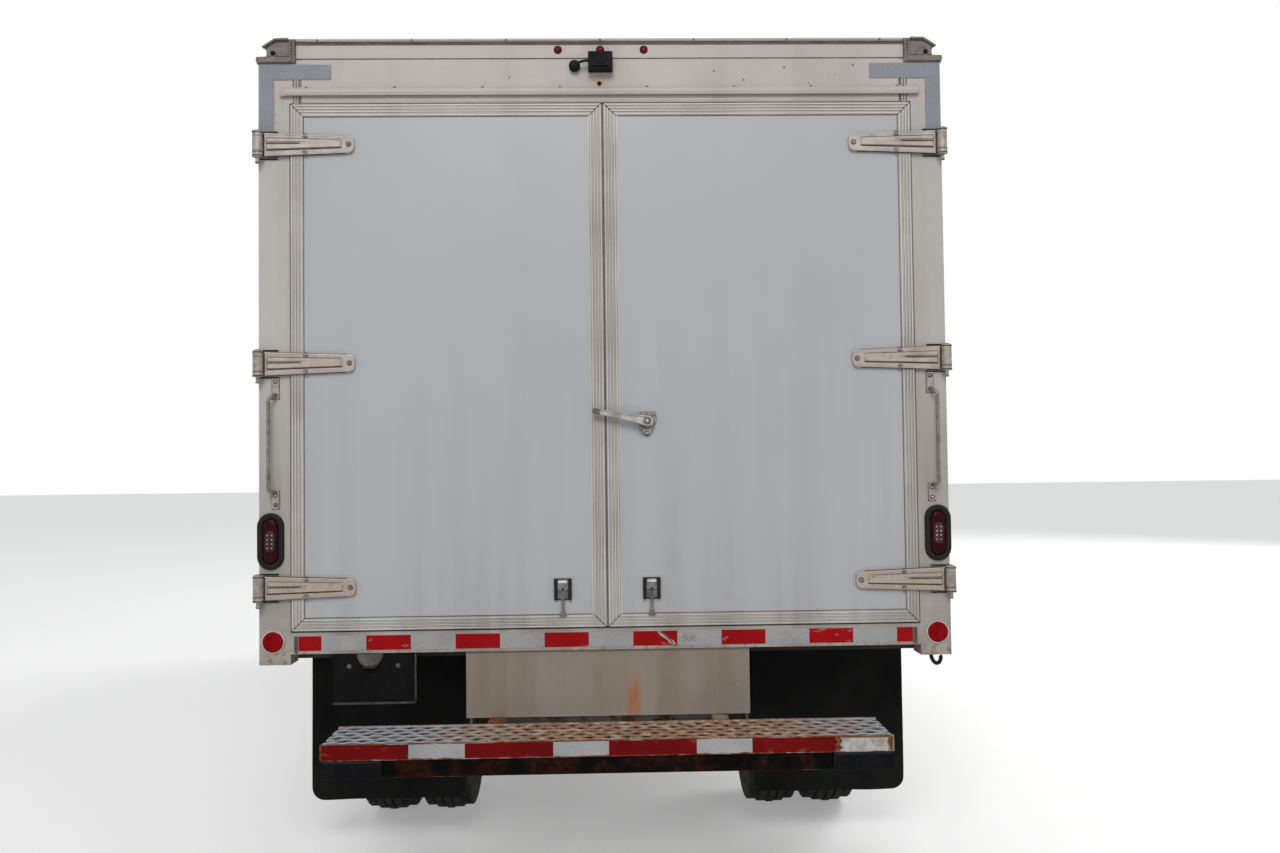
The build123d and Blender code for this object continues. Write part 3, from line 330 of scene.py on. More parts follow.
def make_strap_paint():
    """The frame's paint, thin and brown on the hinge plates."""
    look = Look("hinge_plate_paint", 0.35, 0.15)
    tone = look.patches((184, 175, 167), (160, 150, 141), 16, 5, 0.35, 0.65)
    brown = look.times(look.noise(34, 5, 0.5, 0.66, (0.4, 1, 2)), 0.2)
    tone = look.mix(brown, tone, (112, 94, 80))
    tone = look.mix(look.span(look.z, 1.1, 2.4, 0.75, 0.0), tone, (166, 152, 139))
    spots = look.times(look.noise(90, 3, 0.6, 0.7), look.span(look.z, 1.0, 2.6, 0.6, 0.2))
    tone = look.mix(spots, tone, (104, 82, 66))
    return look.close(tone, look.uneven(30, 0.34, 0.6), (look.noise(180), 0.08))


def make_cast_look():
    look = Look("cap_casting", 0.3, 0.1)
    tone = look.patches((126, 118, 114), (98, 90, 86), 16, 5)
    tone = look.mix(look.times(look.noise(45, 4, 0.55, 0.66), 0.6), tone, (92, 74, 58))
    return look.close(tone, look.uneven(30, 0.5, 0.72), (look.noise(25, 3), 0.9), (look.noise(260), 0.12))


def rusted(name, metal, rust, amount, scale=14, metallic=0.5, rough=(0.42, 0.8), gloss=0.2):
    """Zinc or paint over steel that rusts in patches; amount is the share that has gone."""
    look = Look(name, gloss)
    clean = look.patches(metal, shade(metal, 0.84), scale * 2, 4, 0.35, 0.65)
    orange = look.patches(rust, shade(rust, 0.55), scale * 5, 5, 0.35, 0.65)
    edge = 0.72 - 0.45 * amount
    eaten = look.noise(scale, 6, edge - 0.04, edge + 0.05)
    tone = look.mix(eaten, clean, orange)
    look.feed(look.shader.inputs["Metallic"], look.span(eaten, 0, 1, metallic, 0))
    pits = look.times(look.noise(220, 3), eaten)
    return look.close(tone, look.span(eaten, 0, 1, *rough), (look.noise(scale, 3), 0.5), (pits, 0.35))


def make_galvanised():
    look = Look("galvanised_steel", metal=0.75)
    spangle = look.span(look.cells(85, "F1"), 0.1, 0.6)
    tone = look.mix(spangle, (186, 190, 194), (150, 154, 158))
    tone = look.mix(look.times(look.noise(18, 4, 0.55, 0.7), 0.55), tone, (150, 118, 88))
    return look.close(tone, look.uneven(40, 0.34, 0.56), (look.noise(180), 0.06))


def make_tread_look():
    """Bright zinc at the ends of the step, worn through to rust in the middle."""
    look = Look("step_tread_steel")
    reach = look.calc("ADD", look.off(look.x, 0.12), look.noise(9, 4, 0.0, 2.5))
    worn = look.span(reach, 0.62, 1.0, 1.0, 0.0)
    zinc = look.patches((178, 180, 183), (146, 148, 152), 40, 4, 0.35, 0.65)
    rust = look.patches((170, 130, 100), (118, 90, 72), 70, 5, 0.35, 0.65)
    rust = look.mix(look.noise(28, 4, 0.5, 0.62), rust, (178, 162, 146))
    tone = look.mix(worn, zinc, rust)
    look.feed(look.shader.inputs["Metallic"], look.span(worn, 0, 1, 0.55, 0.1))
    return look.close(tone, look.span(worn, 0, 1, 0.4, 0.75), (look.noise(200, 3), 0.25))


def make_tape(name, light, dark, scuffed=0.55):
    """Reflective sheeting: small cells with paler joints, scuffed in places."""
    look = Look(name, 0.07)
    tone = look.patches(light, dark, 9, 3)
    joints = look.span(look.cells(150), 0.02, 0.07, 1.0, 0.0)
    tone = look.mix(look.times(joints, 0.3), tone, tuple(min(255, v * 1.15 + 20) for v in light))
    scuffs = look.noise(20, 5, 0.62, 0.72, (1, 1, 2.5))
    tone = look.mix(look.times(scuffs, scuffed), tone, (150, 140, 130))
    return look.close(tone, look.uneven(12, 0.28, 0.44), (joints, 0.03))


def make_apron_look():
    """Brown primer with streaks, chips, and one run of rust below the sill."""
    look = Look("apron_steel", 0.3)
    tone = look.patches((146, 135, 124), (134, 123, 112), 5, 5)
    streaks = look.noise(9, 5, 0.45, 0.7, (1, 1, 0.08))
    tone = look.mix(look.times(streaks, 0.5), tone, (118, 104, 90))
    run = look.times(
        look.span(look.off(look.x, 0.088), 0.006, 0.034, 1.0, 0.0),
        look.noise(30, 4, 0.36, 0.56, (1, 1, 0.12)),
        look.span(look.z, 0.80, 0.72),
    )
    tone = look.mix(run, tone, (164, 98, 52))
    chips = look.times(look.noise(70, 5, 0.66, 0.72), look.noise(5, 3, 0.5, 0.65))
    tone = look.mix(look.times(chips, 0.7), tone, (116, 84, 62))
    return look.close(tone, look.uneven(20, 0.5, 0.7), (look.noise(3), 2.0), (look.noise(200), 0.1))


def make_tyre_look():
    look = Look("tyre_rubber", 0.2)
    tone = look.patches((48, 47, 46), (34, 33, 33), 18, 4, 0.35)
    dust = look.times(look.noise(7, 5, 0.45, 0.75), 0.35)
    tone = look.mix(dust, tone, (98, 92, 84))
    return look.close(tone, look.uneven(30, 0.72, 0.9), (look.noise(260, 3), 0.12))


def make_cab_paint():
    look = Look("cab_paint", Coat_Weight=0.5, Coat_Roughness=0.12)
    tone = look.patches((228, 227, 222), (220, 219, 213), 1.3)
    tone = weathered(look, tone, (150, 140, 124), 0.4, 1.6, 0.35)
    return look.close(tone, look.uneven(4, 0.26, 0.36), (look.noise(240), 0.015))


def make_side_paint():
    look = Look("side_panel_paint")
    tone = look.patches((222, 221, 216), (212, 211, 206), 0.9)
    tone = weathered(look, tone, (140, 130, 116), 0.8, 3.0, 0.4)
    return look.close(tone, look.uneven(5, 0.34, 0.5, 4), (look.noise(1.1, 1), 2.5), (look.noise(200), 0.03))


def make_wood(name, light, dark):
    """Boards that run along the truck."""
    look = Look(name)
    grain = look.noise(22, 5, 0.3, 0.7, (6, 0.5, 6))
    tone = look.mix(grain, light, dark)
    tone = look.mix(look.times(look.noise(4, 4, 0.5, 0.7), 0.5), tone, shade(dark, 0.7))
    return look.close(tone, look.uneven(8, 0.5, 0.75), (grain, 0.3))


def make_lens(name, tone, rough=0.12, gloss=0.12):
    look = Look(name, gloss)
    ribs = look.wave(48, "Z")
    depth = look.patches(tone, shade(tone, 0.72), 40, 3)
    return look.close(depth, look.uneven(60, rough, rough + 0.12, 2), (ribs, 0.25))


def make_glass(name, tone):
    look = Look(name, Transmission_Weight=0.92, IOR=1.45)
    body = look.patches(tone, shade(tone, 0.96), 2, 2)
    rough = look.span(look.noise(5, 3), 0.4, 0.8, 0.02, 0.06)
    material = look.close(body, rough, (look.noise(3, 1), 0.02))
    # Lamps shine through to what lies behind
    clear = look.add("BsdfTransparent")
    clear.inputs["Color"].default_value = (0.8, 0.83, 0.82, 1)
    both = look.add("MixShader")
    look.feed(both.inputs[0], look.add("LightPath").outputs["Is Shadow Ray"])
    look.feed(both.inputs[1], look.shader.outputs[0])
    look.feed(both.inputs[2], clear.outputs[0])
    look.surface(both.outputs[0])
    return material


def make_cloth(name, light, dark):
    """A woven cover: crossed threads, with darker wear in patches."""
    look = Look(name, 0.15, Sheen_Weight=0.3)
    weave = look.times(look.wave(110, "X"), look.wave(110, "Z"))
    tone = look.patches(light, dark, 9)
    tone = look.mix(look.times(weave, 0.4), tone, shade(light, 1.3))
    return look.close(tone, look.span(weave, 0, 1, 0.8, 0.95), (weave, 0.25), (look.noise(14, 3), 1.5))


def make_mirror_glass():
    look = Look("mirror_glass", metal=1.0)
    tone = look.patches((226, 229, 231), (214, 218, 221), 3, 2)
    return look.close(tone, look.uneven(30, 0.02, 0.06, 4), (look.noise(2, 1), 0.05))


frame_paint = make_frame_paint()
door_look = make_door_look()
strap_paint = make_strap_paint()
cast_look = make_cast_look()
galvanised = make_galvanised()
tread_look = make_tread_look()
apron_look = make_apron_look()
tyre_look = make_tyre_look()
cab_paint = make_cab_paint()
side_paint = make_side_paint()
floor_wood = make_wood("floor_boards", (150, 112, 76), (112, 80, 52))
ply_lining = make_wood("plywood_lining", (196, 170, 130), (170, 142, 104))
step_steel = rusted("step_steel", (150, 144, 136), (134, 78, 46), 0.6, 12, 0.35)
channel_steel = rusted("channel_steel", (12, 11, 11), (46, 24, 17), 0.5, 9, 0.0, (0.7, 0.95), 0.03)
cast_iron = rusted("driveline_iron", (92, 88, 84), (112, 76, 54), 0.35, 10, 0.6)
bolt_steel = rusted("bolt_steel", (180, 178, 174), (138, 96, 66), 0.3, 60, 0.7)
red_lens = make_lens("red_lens", (150, 6, 12), 0.2, 0.05)
clear_lens = make_lens("clear_lens", (206, 200, 198))
lamp_red_dark = make_lens("lamp_red_dark", (52, 4, 7), 0.2, 0.08)
lamp_cluster = make_lens("lamp_cluster", (78, 54, 54), 0.2, 0.08)
marker_lens = make_lens("marker_lens", (112, 18, 26), 0.2)
amber_lens = make_lens("amber_lens", (214, 118, 18))
red_tape = make_tape("red_sheeting", (154, 8, 14), (132, 6, 11))
# A darker copy of the red sheeting for the step's face: painted shade, and dirt
shaded_red_tape = make_tape("shaded_red_sheeting", (108, 3, 5), (90, 2, 4), 0.2)
white_tape = make_tape("white_sheeting", (158, 158, 159), (142, 142, 143))
grey_tape = make_tape("grey_sheeting", (136, 137, 144), (127, 128, 135))
window_glass = make_glass("window_glass", (226, 236, 233))
mirror_glass = make_mirror_glass()
seat_cloth = make_cloth("seat_fabric", (92, 95, 103), (72, 74, 82))
headliner = make_cloth("headliner_felt", (168, 164, 156), (152, 148, 140))
belt_web = make_cloth("belt_webbing", (34, 34, 36), (24, 24, 25))

# Plain finishes: light tone, dark tone, roughness, scale of patches and of grain, depth of grain
chassis_black = plain("chassis_black", (36, 35, 35), (54, 49, 45), (0.45, 0.75), 5, 220, 0.15, 0.25)
rubber = plain("black_rubber", (18, 18, 18), (30, 29, 28), (0.6, 0.8), 20, 300, 0.12, 0.2)
dock_rubber = plain("dock_rubber", (14, 15, 17), (24, 24, 25), (0.7, 0.9), 16, 180, 0.4, 0.05)
flap_rubber = plain("flap_rubber", (18, 18, 18), (28, 27, 26), (0.65, 0.85), 4, 140, 0.25, 0.07)
black_plastic = plain("black_plastic", (28, 28, 29), (40, 39, 39), (0.42, 0.58), 14, 360, 0.08, 0.25)
viewer_black = plain("viewer_black", (15, 16, 17), (24, 24, 25), (0.5, 0.7), 20, 300, 0.1, 0.1)
rust_scale = plain("rust_scale", (132, 82, 54), (92, 60, 42), (0.7, 0.95), 26, 220, 0.4, 0.1)
bracket_black = plain("bracket_black", (13, 13, 14), (20, 20, 20), (0.7, 0.9), 12, 220, 0.1, 0.08)
pale_rim = plain("pale_rim", (74, 74, 73), (44, 43, 42), (0.5, 0.75), 24, 220, 0.15, 0.2)
lamp_housing = plain("lamp_housing", (104, 99, 95), (80, 75, 71), (0.5, 0.7), 30, 260, 0.1, 0.2)
dock_edge = plain("dock_edge", (32, 34, 44), (22, 23, 28), (0.5, 0.75), 14, 200, 0.2, 0.2)
# Painted shade: a brown for undersides and slots where shadow falls
lip_shade = plain("painted_underside_shade", (104, 96, 90), (82, 75, 69), (0.6, 0.8), 20, 200, 0.1, 0.1)
# Grey-brown of joint strips and rivets, also used as painted shade in the gaps round the doors
joint_shade = plain("joint_strip_and_gap_shade", (128, 119, 110), (106, 97, 88), (0.6, 0.8), 30, 200, 0.2, 0.1)
# Dark brown of seams, slots and scratches, also used as painted shade under the lip and round plates and
# panels
seam_and_shade_brown = plain("seam_and_shade_brown", (112, 98, 86), (78, 66, 56), (0.7, 0.9), 30, 200, 0.1, 0.1)
# Dark brown lines of painted shade round hinge ribs, plate edges and bolt heads
strap_shade = plain("hinge_painted_shade", (78, 62, 52), (48, 38, 32), (0.7, 0.9), 40, 200, 0.1, 0.1)
painted_bolt = plain("painted_bolt", (150, 143, 134), (104, 92, 80), (0.45, 0.7), 90, 300, 0.1, 0.25)
dark_gap = plain("dark_gap", (10, 10, 10), (20, 19, 18), (0.8, 0.95), 20, 200, 0.1, 0.05)
grey_plastic = plain("grey_plastic", (96, 96, 98), (82, 82, 84), (0.5, 0.64), 12, 320, 0.1)
wheel_paint = plain("wheel_paint", (214, 213, 208), (190, 187, 180), (0.32, 0.5), 14, 260, 0.06)
seat_piping = plain("seat_piping", (24, 24, 26), (34, 34, 36), (0.5, 0.7), 30, 300, 0.1)
alloy = plain("aluminium", (196, 197, 196), (172, 172, 169), (0.3, 0.5), 8, 300, 0.04, metal=0.8)
roof_alloy = plain("roof_aluminium", (190, 191, 190), (180, 180, 177), (0.55, 0.65), 2, 300, 0.04, metal=0.55)
bright_steel = plain("bright_steel", (204, 205, 206), (168, 168, 168), (0.22, 0.4), 22, 300, 0.05, metal=0.85)
latch_metal = plain(
    "latch_cast_metal", (172, 171, 169), (134, 131, 127), (0.36, 0.54), 30, 260, 0.12, metal=0.5
)
latch_dark = plain("latch_base_metal", (118, 112, 106), (84, 78, 73), (0.5, 0.7), 40, 260, 0.15, metal=0.3)
bolt_grey = plain("bolt_grey", (128, 126, 123), (92, 89, 86), (0.4, 0.6), 40, 260, 0.1, metal=0.5)
scuffed_silver = plain(
    "scuffed_silver", (176, 174, 170), (140, 134, 126), (0.3, 0.5), 60, 300, 0.1, metal=0.5
)
barrel_paint = plain("barrel_paint", (166, 158, 151), (132, 122, 112), (0.35, 0.55), 50, 300, 0.1, metal=0.25)
handle_steel = plain("handle_steel", (132, 125, 119), (96, 86, 78), (0.3, 0.5), 60, 300, 0.1, metal=0.35)


# Shapes


class Piece:
    """A mesh gathered in millimetres. The first material is used where none is named.

    Its side, 1 or -1, turns every x. Its y values are distances from a face: ahead of it, or
    out towards the rear where ahead is -1.
    """

    def __init__(self, material, face=0, ahead=1, side=1):
        self.mesh = bmesh.new()
        self.materials = [material]
        self.face, self.ahead, self.side = face, ahead, side

    def both(self):
        """Goes through the two sides, left and right."""
        for self.side in (-1, 1):
            yield self.side
        self.side = 1

    def way(self, x, y, z):
        """A direction, turned into the truck's frame."""
        return Vector((self.side * x, self.ahead * y, z))

    def spot(self, x, y, z):
        """A point, turned into the truck's frame."""
        return (self.side * x, self.face + self.ahead * y, z)

    def index(self, material):
        if material is None:
            return 0
        if material not in self.materials:
            self.materials.append(material)
        return self.materials.index(material)

    def loft(self, loops, material=None, caps=(True, True)):
        """Faces between closed loops of points in the truck's frame, each with the same count."""
        rows = [[self.mesh.verts.new(point) for point in loop] for loop in loops]
        count = len(rows[0])
        faces = []
        for low, high in zip(rows, rows[1:]):
            for i in range(count):
                j = (i + 1) % count
                faces.append(self.mesh.faces.new((low[i], low[j], high[j], high[i])))
        if caps[0]:
            faces.append(self.mesh.faces.new(rows[0][::-1]))
        if caps[1]:
            faces.append(self.mesh.faces.new(rows[-1]))
        for face in faces:
            face.material_index = self.index(material)

    def box(self, x, y, z, material=None, edge=0.0, segments=2):
        """A box between two values on each axis, its edges rounded."""
        ends = zip(self.spot(x[0], y[0], z[0]), self.spot(x[1], y[1], z[1]))
        spans = [(min(span), max(span)) for span in ends]
        verts = bmesh.ops.create_cube(self.mesh, size=1)["verts"]
        size = [high - low for low, high in spans]
        middle = Vector([(low + high) / 2 for low, high in spans])
        for vert in verts:
            vert.co = middle + Vector([c * s for c, s in zip(vert.co, size)])
        for face in {face for vert in verts for face in vert.link_faces}:
            face.material_index = self.index(material)
        if edge:
            edges = list({e for vert in verts for e in vert.link_edges})
            bmesh.ops.bevel(
                self.mesh, geom=edges, offset=edge, segments=segments, affect="EDGES", material=-1
            )

    def side_plate(self, outline, x, thick, material=None):
        """An outline of (y, z), from x through a thickness."""
        self.loft([[self.spot(end, y, z) for y, z in outline] for end in (x, x + thick)], material)

    def lathe(self, origin, way, profile, material=None, sides=24, caps=(True, True)):
        """A turned shape: profile lists (distance along way, radius)."""
        turn = self.way(*way).to_track_quat("Z", "Y")
        origin = Vector(self.spot(*origin))
        loops = []
        for along, radius in profile:
            loop = []
            for i in range(sides):
                angle = 2 * math.pi * i / sides
                spot = Vector((radius * math.cos(angle), radius * math.sin(angle), along))
                loop.append(origin + turn @ spot)
            loops.append(loop)
        self.loft(loops, material, caps)

    def disc(self, origin, way, radius, height, material=None, sides=24):
        self.lathe(origin, way, [(0, radius), (height, radius)], material, sides)

    def rod(self, start, end, radius, material=None, sides=16, chamfer=0.0):
        way = Vector(end) - Vector(start)
        length = way.length
        profile = [(0, radius), (length, radius)]
        if chamfer:
            profile = [(chamfer, radius), (length - chamfer, radius)]
            profile = [(0, radius - chamfer), *profile, (length, radius - chamfer)]
        self.lathe(start, way, profile, material, sides)

    def dome(self, centre, way, radius, height, material=None, sides=12, rings=3):
        steps = [math.pi / 2 * k / rings for k in range(rings)]
        profile = [(height * math.sin(a), radius * math.cos(a)) for a in steps]
        profile.append((height, radius * 0.12))
        self.lathe(centre, way, profile, material, sides, (False, True))

    def rivet(self, centre, way, radius=4.5, height=2):
        self.dome(centre, way, radius, height, alloy, 8, 2)

    def bolt(self, centre, way, size, material=None, washer=True):
        """A hexagon head across its flats, with a washer."""
        base = 0
        if washer:
            base = size * 0.14
            self.lathe(centre, way, [(0, size * 1.05), (base, size * 1.0)], material, 20)
        top = base + size * 0.5
        profile = [(base, size * 0.58), (top - size * 0.08, size * 0.58), (top, size * 0.48)]
        self.lathe(centre, way, profile, material, 6)

    def plate(self, outline, out, thick, material=None):
        """An outline of (x, z), from a distance in y through a thickness."""
        ends = (out, out + thick)
        self.loft([[self.spot(x, y, z) for x, z in outline] for y in ends], material)

    def oval(self, centre, width, height, levels, material=None, steps=14, caps=(True, True)):
        """Upright ovals on a rear face: levels lists (inset, distance out)."""
        x, base, z = centre
        loops = []
        for inset, out in levels:
            radius = width / 2 - inset
            straight = height / 2 - width / 2
            loop = []
            for end in (1, -1):
                for k in range(steps + 1):
                    angle = math.pi * k / steps
                    across = self.side * end * radius * math.cos(angle)
                    up = end * (straight + radius * math.sin(angle))
                    loop.append(self.spot(x + across, base + out, z + up))
            loops.append(loop)
        self.loft(loops, material, caps)

    def tube(self, points, radius, material=None, sides=12, smooth=4):
        """A round bar along a smooth line through the points."""
        points = [Vector(self.spot(*point)) for point in points]
        path = smoothed(points, smooth) if smooth else points
        loops = []
        upright = Vector((0, 0, 1))
        for i, spot in enumerate(path):
            ahead = (path[min(i + 1, len(path) - 1)] - path[max(i - 1, 0)]).normalized()
            if i == 0:
                helper = upright if abs(ahead.dot(upright)) < 0.9 else Vector((1, 0, 0))
                across = ahead.cross(helper).normalized()
            else:
                across = (across - ahead * across.dot(ahead)).normalized()
            other = ahead.cross(across)
            loop = []
            for k in range(sides):
                angle = 2 * math.pi * k / sides
                loop.append(spot + radius * (math.cos(angle) * across + math.sin(angle) * other))
            loops.append(loop)
        self.loft(loops, material)

    def done(self, name, body, slot=None, replaces=(), angle=38, bevel=0.0):
        bmesh.ops.recalc_face_normals(self.mesh, faces=self.mesh.faces)
        self.mesh.transform(Matrix.Scale(0.001, 4))
        data = bpy.data.meshes.new(name)
        self.mesh.to_mesh(data)
        self.mesh.free()
        for material in self.materials:
            data.materials.append(material)
        data.shade_smooth()
        data.set_sharp_from_angle(angle=math.radians(angle))
        piece = bpy.data.objects.new(name, data)
        bpy.context.scene.collection.objects.link(piece)
        if bevel:
            modifier = piece.modifiers.new("edges", "BEVEL")
            modifier.width = bevel / 1000
            modifier.segments = 2
            modifier.limit_method = "ANGLE"
            modifier.angle_limit = math.radians(40)
        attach(piece, body)
        if replaces:
            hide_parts(*replaces)
        return piece


def smoothed(points, steps):
    """Points along a smooth line through the given ones."""
    line = [points[0]]
    for i in range(len(points) - 1):
        before = points[max(i - 1, 0)]
        start, end = points[i], points[i + 1]
        after = points[min(i + 2, len(points) - 1)]
        for k in range(1, steps + 1):
            t = k / steps
            curve = 2 * start + (end - before) * t
            curve = curve + (2 * before - 5 * start + 4 * end - after) * t * t
            line.append(0.5 * (curve + (3 * start - before - 3 * end + after) * t * t * t))
    return line


def rows(start, end, pitch):
    """Evenly spaced places from start to end, no closer than the pitch."""
    count = max(1, int((end - start) / pitch))
    return [start + (end - start) * k / count for k in range(count + 1)]


def repaint(material, *nodes):
    for name in nodes:
        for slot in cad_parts[name].material_slots:
            slot.material = material


# Directions, turned with the piece: out from its face, and aside from the truck's middle
OUT = (0, 1, 0)
BACK = (0, -1, 0)
ASIDE = (1, 0, 0)
INWARD = (-1, 0, 0)
UP = (0, 0, 1)
DOWN = (0, 0, -1)


# CAD pieces that keep their shape

repaint(frame_paint, "rear_posts", "rear_header", "rear_sill", "hinge_straps_left", "hinge_straps_right")
repaint(barrel_paint, "hinge_butts")
repaint(door_look, "rear_door_left", "rear_door_right")
repaint(cast_look, "corner_caps")
repaint(apron_look, "rear_apron")
repaint(bracket_black, "plate_bracket")
repaint(step_steel, "step_bumper", "exhaust")
repaint(dock_rubber, "dock_bumpers")
repaint(flap_rubber, "mud_flaps")
repaint(chassis_black, "frame_rails", "frame_crossmembers", "floor_crossmembers", "front_bumper")
repaint(chassis_black, "leaf_springs", "battery_box")
repaint(cast_iron, "front_axle", "rear_axle", "engine", "drive_shaft", "knuckle_left", "knuckle_right")
repaint(alloy, "fuel_tank")
repaint(side_paint, "box_side_walls", "box_front_wall")
repaint(roof_alloy, "box_roof")
repaint(floor_wood, "box_floor")
repaint(cab_paint, "cab_shell", "cab_front_panel", "cab_door_left", "cab_door_right")
repaint(window_glass, "cab_glass", "door_glass_left", "door_glass_right")
repaint(black_plastic, "mirrors", "steering_wheel")
repaint(grey_plastic, "dashboard", "seats")
repaint(clear_lens, "headlamps")
repaint(wheel_paint, "wheel_front_left", "wheel_front_right", "wheels_rear_left", "wheels_rear_right")
repaint(tyre_look, "tyre_front_left", "tyre_front_right", "tyres_rear_left", "tyres_rear_right")


# Header: panels, drip rail, lamps and camera

header = Piece(frame_paint, body_rear, -1)
header.box((-1086, 1086), (0, 1.5), (2974, 3022), edge=0.6)
header.box((-1066, 1066), (0, 1.2), (2818, 2970), edge=0.5)
header.box((-1088, 1088), (9, -10), (3033, 3043), edge=3)
# Painted shadow under the roof's lip: a brown band, with a darker line right under the lip
header.box((-1088, 1088), (0, 2.5), (3021, 3034), lip_shade)
header.box((-1088, 1088), (0, 3), (3030, 3033.5), seam_and_shade_brown)
header.box((-1086, 1086), (0, 0.9), (2969.5, 2974), seam_and_shade_brown)
for k in range(7):
    header.dome((-1010 + 335 * k, 9, 3037), OUT, 3.5, 1.6, seam_and_shade_brown, 8, 2)
for side in header.both():
    header.box((1068, 1098), (0, 0.8), (2812, 2899), joint_shade)
    header.box((1078, 1092), (0, 3), (2812, 2954), frame_paint, 1)
    header.box((1083, 1087), (3, 3.4), (2816, 2950), seam_and_shade_brown)
header.done("header_panels", "chassis", "body_white")

# The rail is a bent strip: round above, open and in shadow below, pinched at its left end
drip = Piece(frame_paint, body_rear, -1)
profile = ((0, 13), (8, 12.5), (14, 9), (17, 3), (17, -8), (13, -15), (10, -12), (11, 1), (8, 6), (3, 7))
left_end = ((-1142, 0.45, 9), (-1137, 0.8, 6), (-1126, 1, 2), (-1112, 1, 0))
right_end = ((1128, 1, 0), (1137, 0.9, 0), (1140, 0.5, 0))
loops = []
for x, size, drop in left_end + right_end:
    loops.append([drip.spot(x, 1 + out * size, 2853 - drop + up * size) for out, up in profile])
drip.loft(loops)
# A strip of painted shadow under the rail
drip.box((-1128, 1136), (0, 10), (2841, 2845), lip_shade)
drip.box((-1132, 1136), (0, 2.2), (2863, 2871), frame_paint, 0.8)
for k in range(8):
    drip.dome((-1050 + 300 * k + 12 * (k % 3), 2.2, 2869), OUT, 5, 3, joint_shade, 10)
drip.done("drip_rail", "chassis", "body_white")

corner_tape = Piece(grey_tape, body_rear, -1)
for side in corner_tape.both():
    outline = [(1216, 2954), (962, 2951), (962, 2898), (1164, 2898), (1164, 2698), (1216, 2698)]
    corner_tape.plate(outline, 0, 3.7)
corner_tape.done("corner_sheeting", "chassis", "body_white", bevel=0.3)

small_lamps = Piece(marker_lens, body_rear, -1)
for side in small_lamps.both():
    small_lamps.lathe((1165, 7, 2991), OUT, [(0, 13), (2, 13), (3, 11)], cast_look, 20)
    small_lamps.dome((1165, 9, 2991), OUT, 9.5, 6, lamp_red_dark, 20, 5)
for x in (-156, -5, 151):
    small_lamps.lathe((x, 1.5, 3003), OUT, [(0, 14.5), (2.5, 14.5), (4, 13), (4, 10)], rubber, 28)
    small_lamps.dome((x, 3.5, 3003), OUT, 11.5, 7, marker_lens, 28, 6)
small_lamps.done("marker_lamps_rear", "chassis", "lamp_red")

viewer = Piece(viewer_black, body_rear, -1)
viewer.box((-48, 39), (1, 44), (2920, 2984), edge=2, segments=3)
viewer.box((-42, 33), (42, 50), (2927, 2978), edge=3)
for z in range(2931, 2980, 7):
    viewer.box((-38, 29), (49, 52), (z, z + 3), rubber, 0.8)
viewer.lathe((-4, 50, 2952), OUT, [(0, 13), (4, 13), (6, 11), (6, 8), (4, 7)], rubber)
viewer.dome((-4, 53, 2952), OUT, 7.5, 3, viewer_black, 20, 4)
viewer.tube([(-48, 30, 2954), (-60, 32, 2953), (-74, 30, 2950), (-88, 26, 2946)], 4.6)
socket = [(0, 17), (4, 20), (18, 20), (25, 17), (29, 11), (29, 3)]
viewer.lathe((-97, 1, 2941), OUT, socket, viewer_black, 28)
viewer.done("rear_view_unit", "chassis", "plastic_black")

blemish = Piece(dark_gap, body_rear, -1)
blemish.lathe((-9, 1.2, 2881), OUT, [(0, 9), (0.6, 9), (0.6, 6.2)], step_steel, 20, (True, False))
blemish.disc((-9, 1.2, 2881), OUT, 6.4, 0.2, dark_gap, 16)
for x, z in ((402, 2925), (508, 2893), (655, 2938), (742, 2880), (838, 2911), (903, 2946), (-330, 2905)):
    blemish.dome((x, 1.2, z), OUT, random.uniform(2.5, 4.0), 1.2, step_steel, 10, 2)
blemish.done("header_holes", "chassis", "cast_steel")

# Corner caps: a riveted strip and a plate on each casting, and a hood over its lamp
caps = Piece(cast_look, body_rear - 5, -1)
for side in caps.both():
    # The ledge at the foot of the casting, rounded where it ends
    ledge = []
    for x, half in ((1224, 9), (1221, 12), (1200, 12), (1112, 12), (1104, 10), (1098, 6)):
        section = ((-1, -half), (9, 3 - half), (9, half - 3), (-1, half))
        ledge.append([caps.spot(x, out, 2968 + up) for out, up in section])
    caps.loft(ledge)
    # The casting steps in above the ledge, under the slanting roof flange
    body = [(1087, 2956), (1224, 2956), (1224, 2980), (1190, 2981), (1189, 3006), (1200, 3014)]
    caps.plate(body + [(1156, 3043), (1087, 3043)], 0, caps.face - box_start)
    plate = [(1110, 2981), (1187, 2981), (1186, 3004), (1190, 3010), (1158, 3031), (1110, 3031)]
    caps.plate(plate, 0, 3)
    hood = [(1203, 3013), (1157, 3042), (1110, 3043), (1110, 3036), (1155, 3036), (1199, 3008)]
    caps.plate(hood, -2, 15)
    caps.box((1088, 1110), (0, 4), (2958, 3040), joint_shade, 1)
    for k in range(6):
        caps.dome((1100, 4, 2975 + 11 * k), OUT, 2.8, 1, dark_gap, 8, 2)
    caps.box((1086, 1089), (0, 4.5), (2958, 3040), seam_and_shade_brown)
caps.done("cap_castings", "chassis", "cast_steel", ["corner_caps"], bevel=1.0)


# Rear posts and sill

# Painted shade: a brown mark in the slot beside the sill, and recessed grey-brown strips filling the gaps
# beside and above the doors
post_marks = Piece(dark_gap, body_rear, -1)
for side in post_marks.both():
    post_marks.box((1084, 1098), (0, 0.6), (870, 930), lip_shade)
    post_marks.box((1106.5, 1110), (-2, -14), (945, 2812), joint_shade, 1)
post_marks.box((-1108, 1108), (-3, -14), (2810.5, 2814), joint_shade, 1)
post_marks.done("post_slots", "chassis", "rubber")

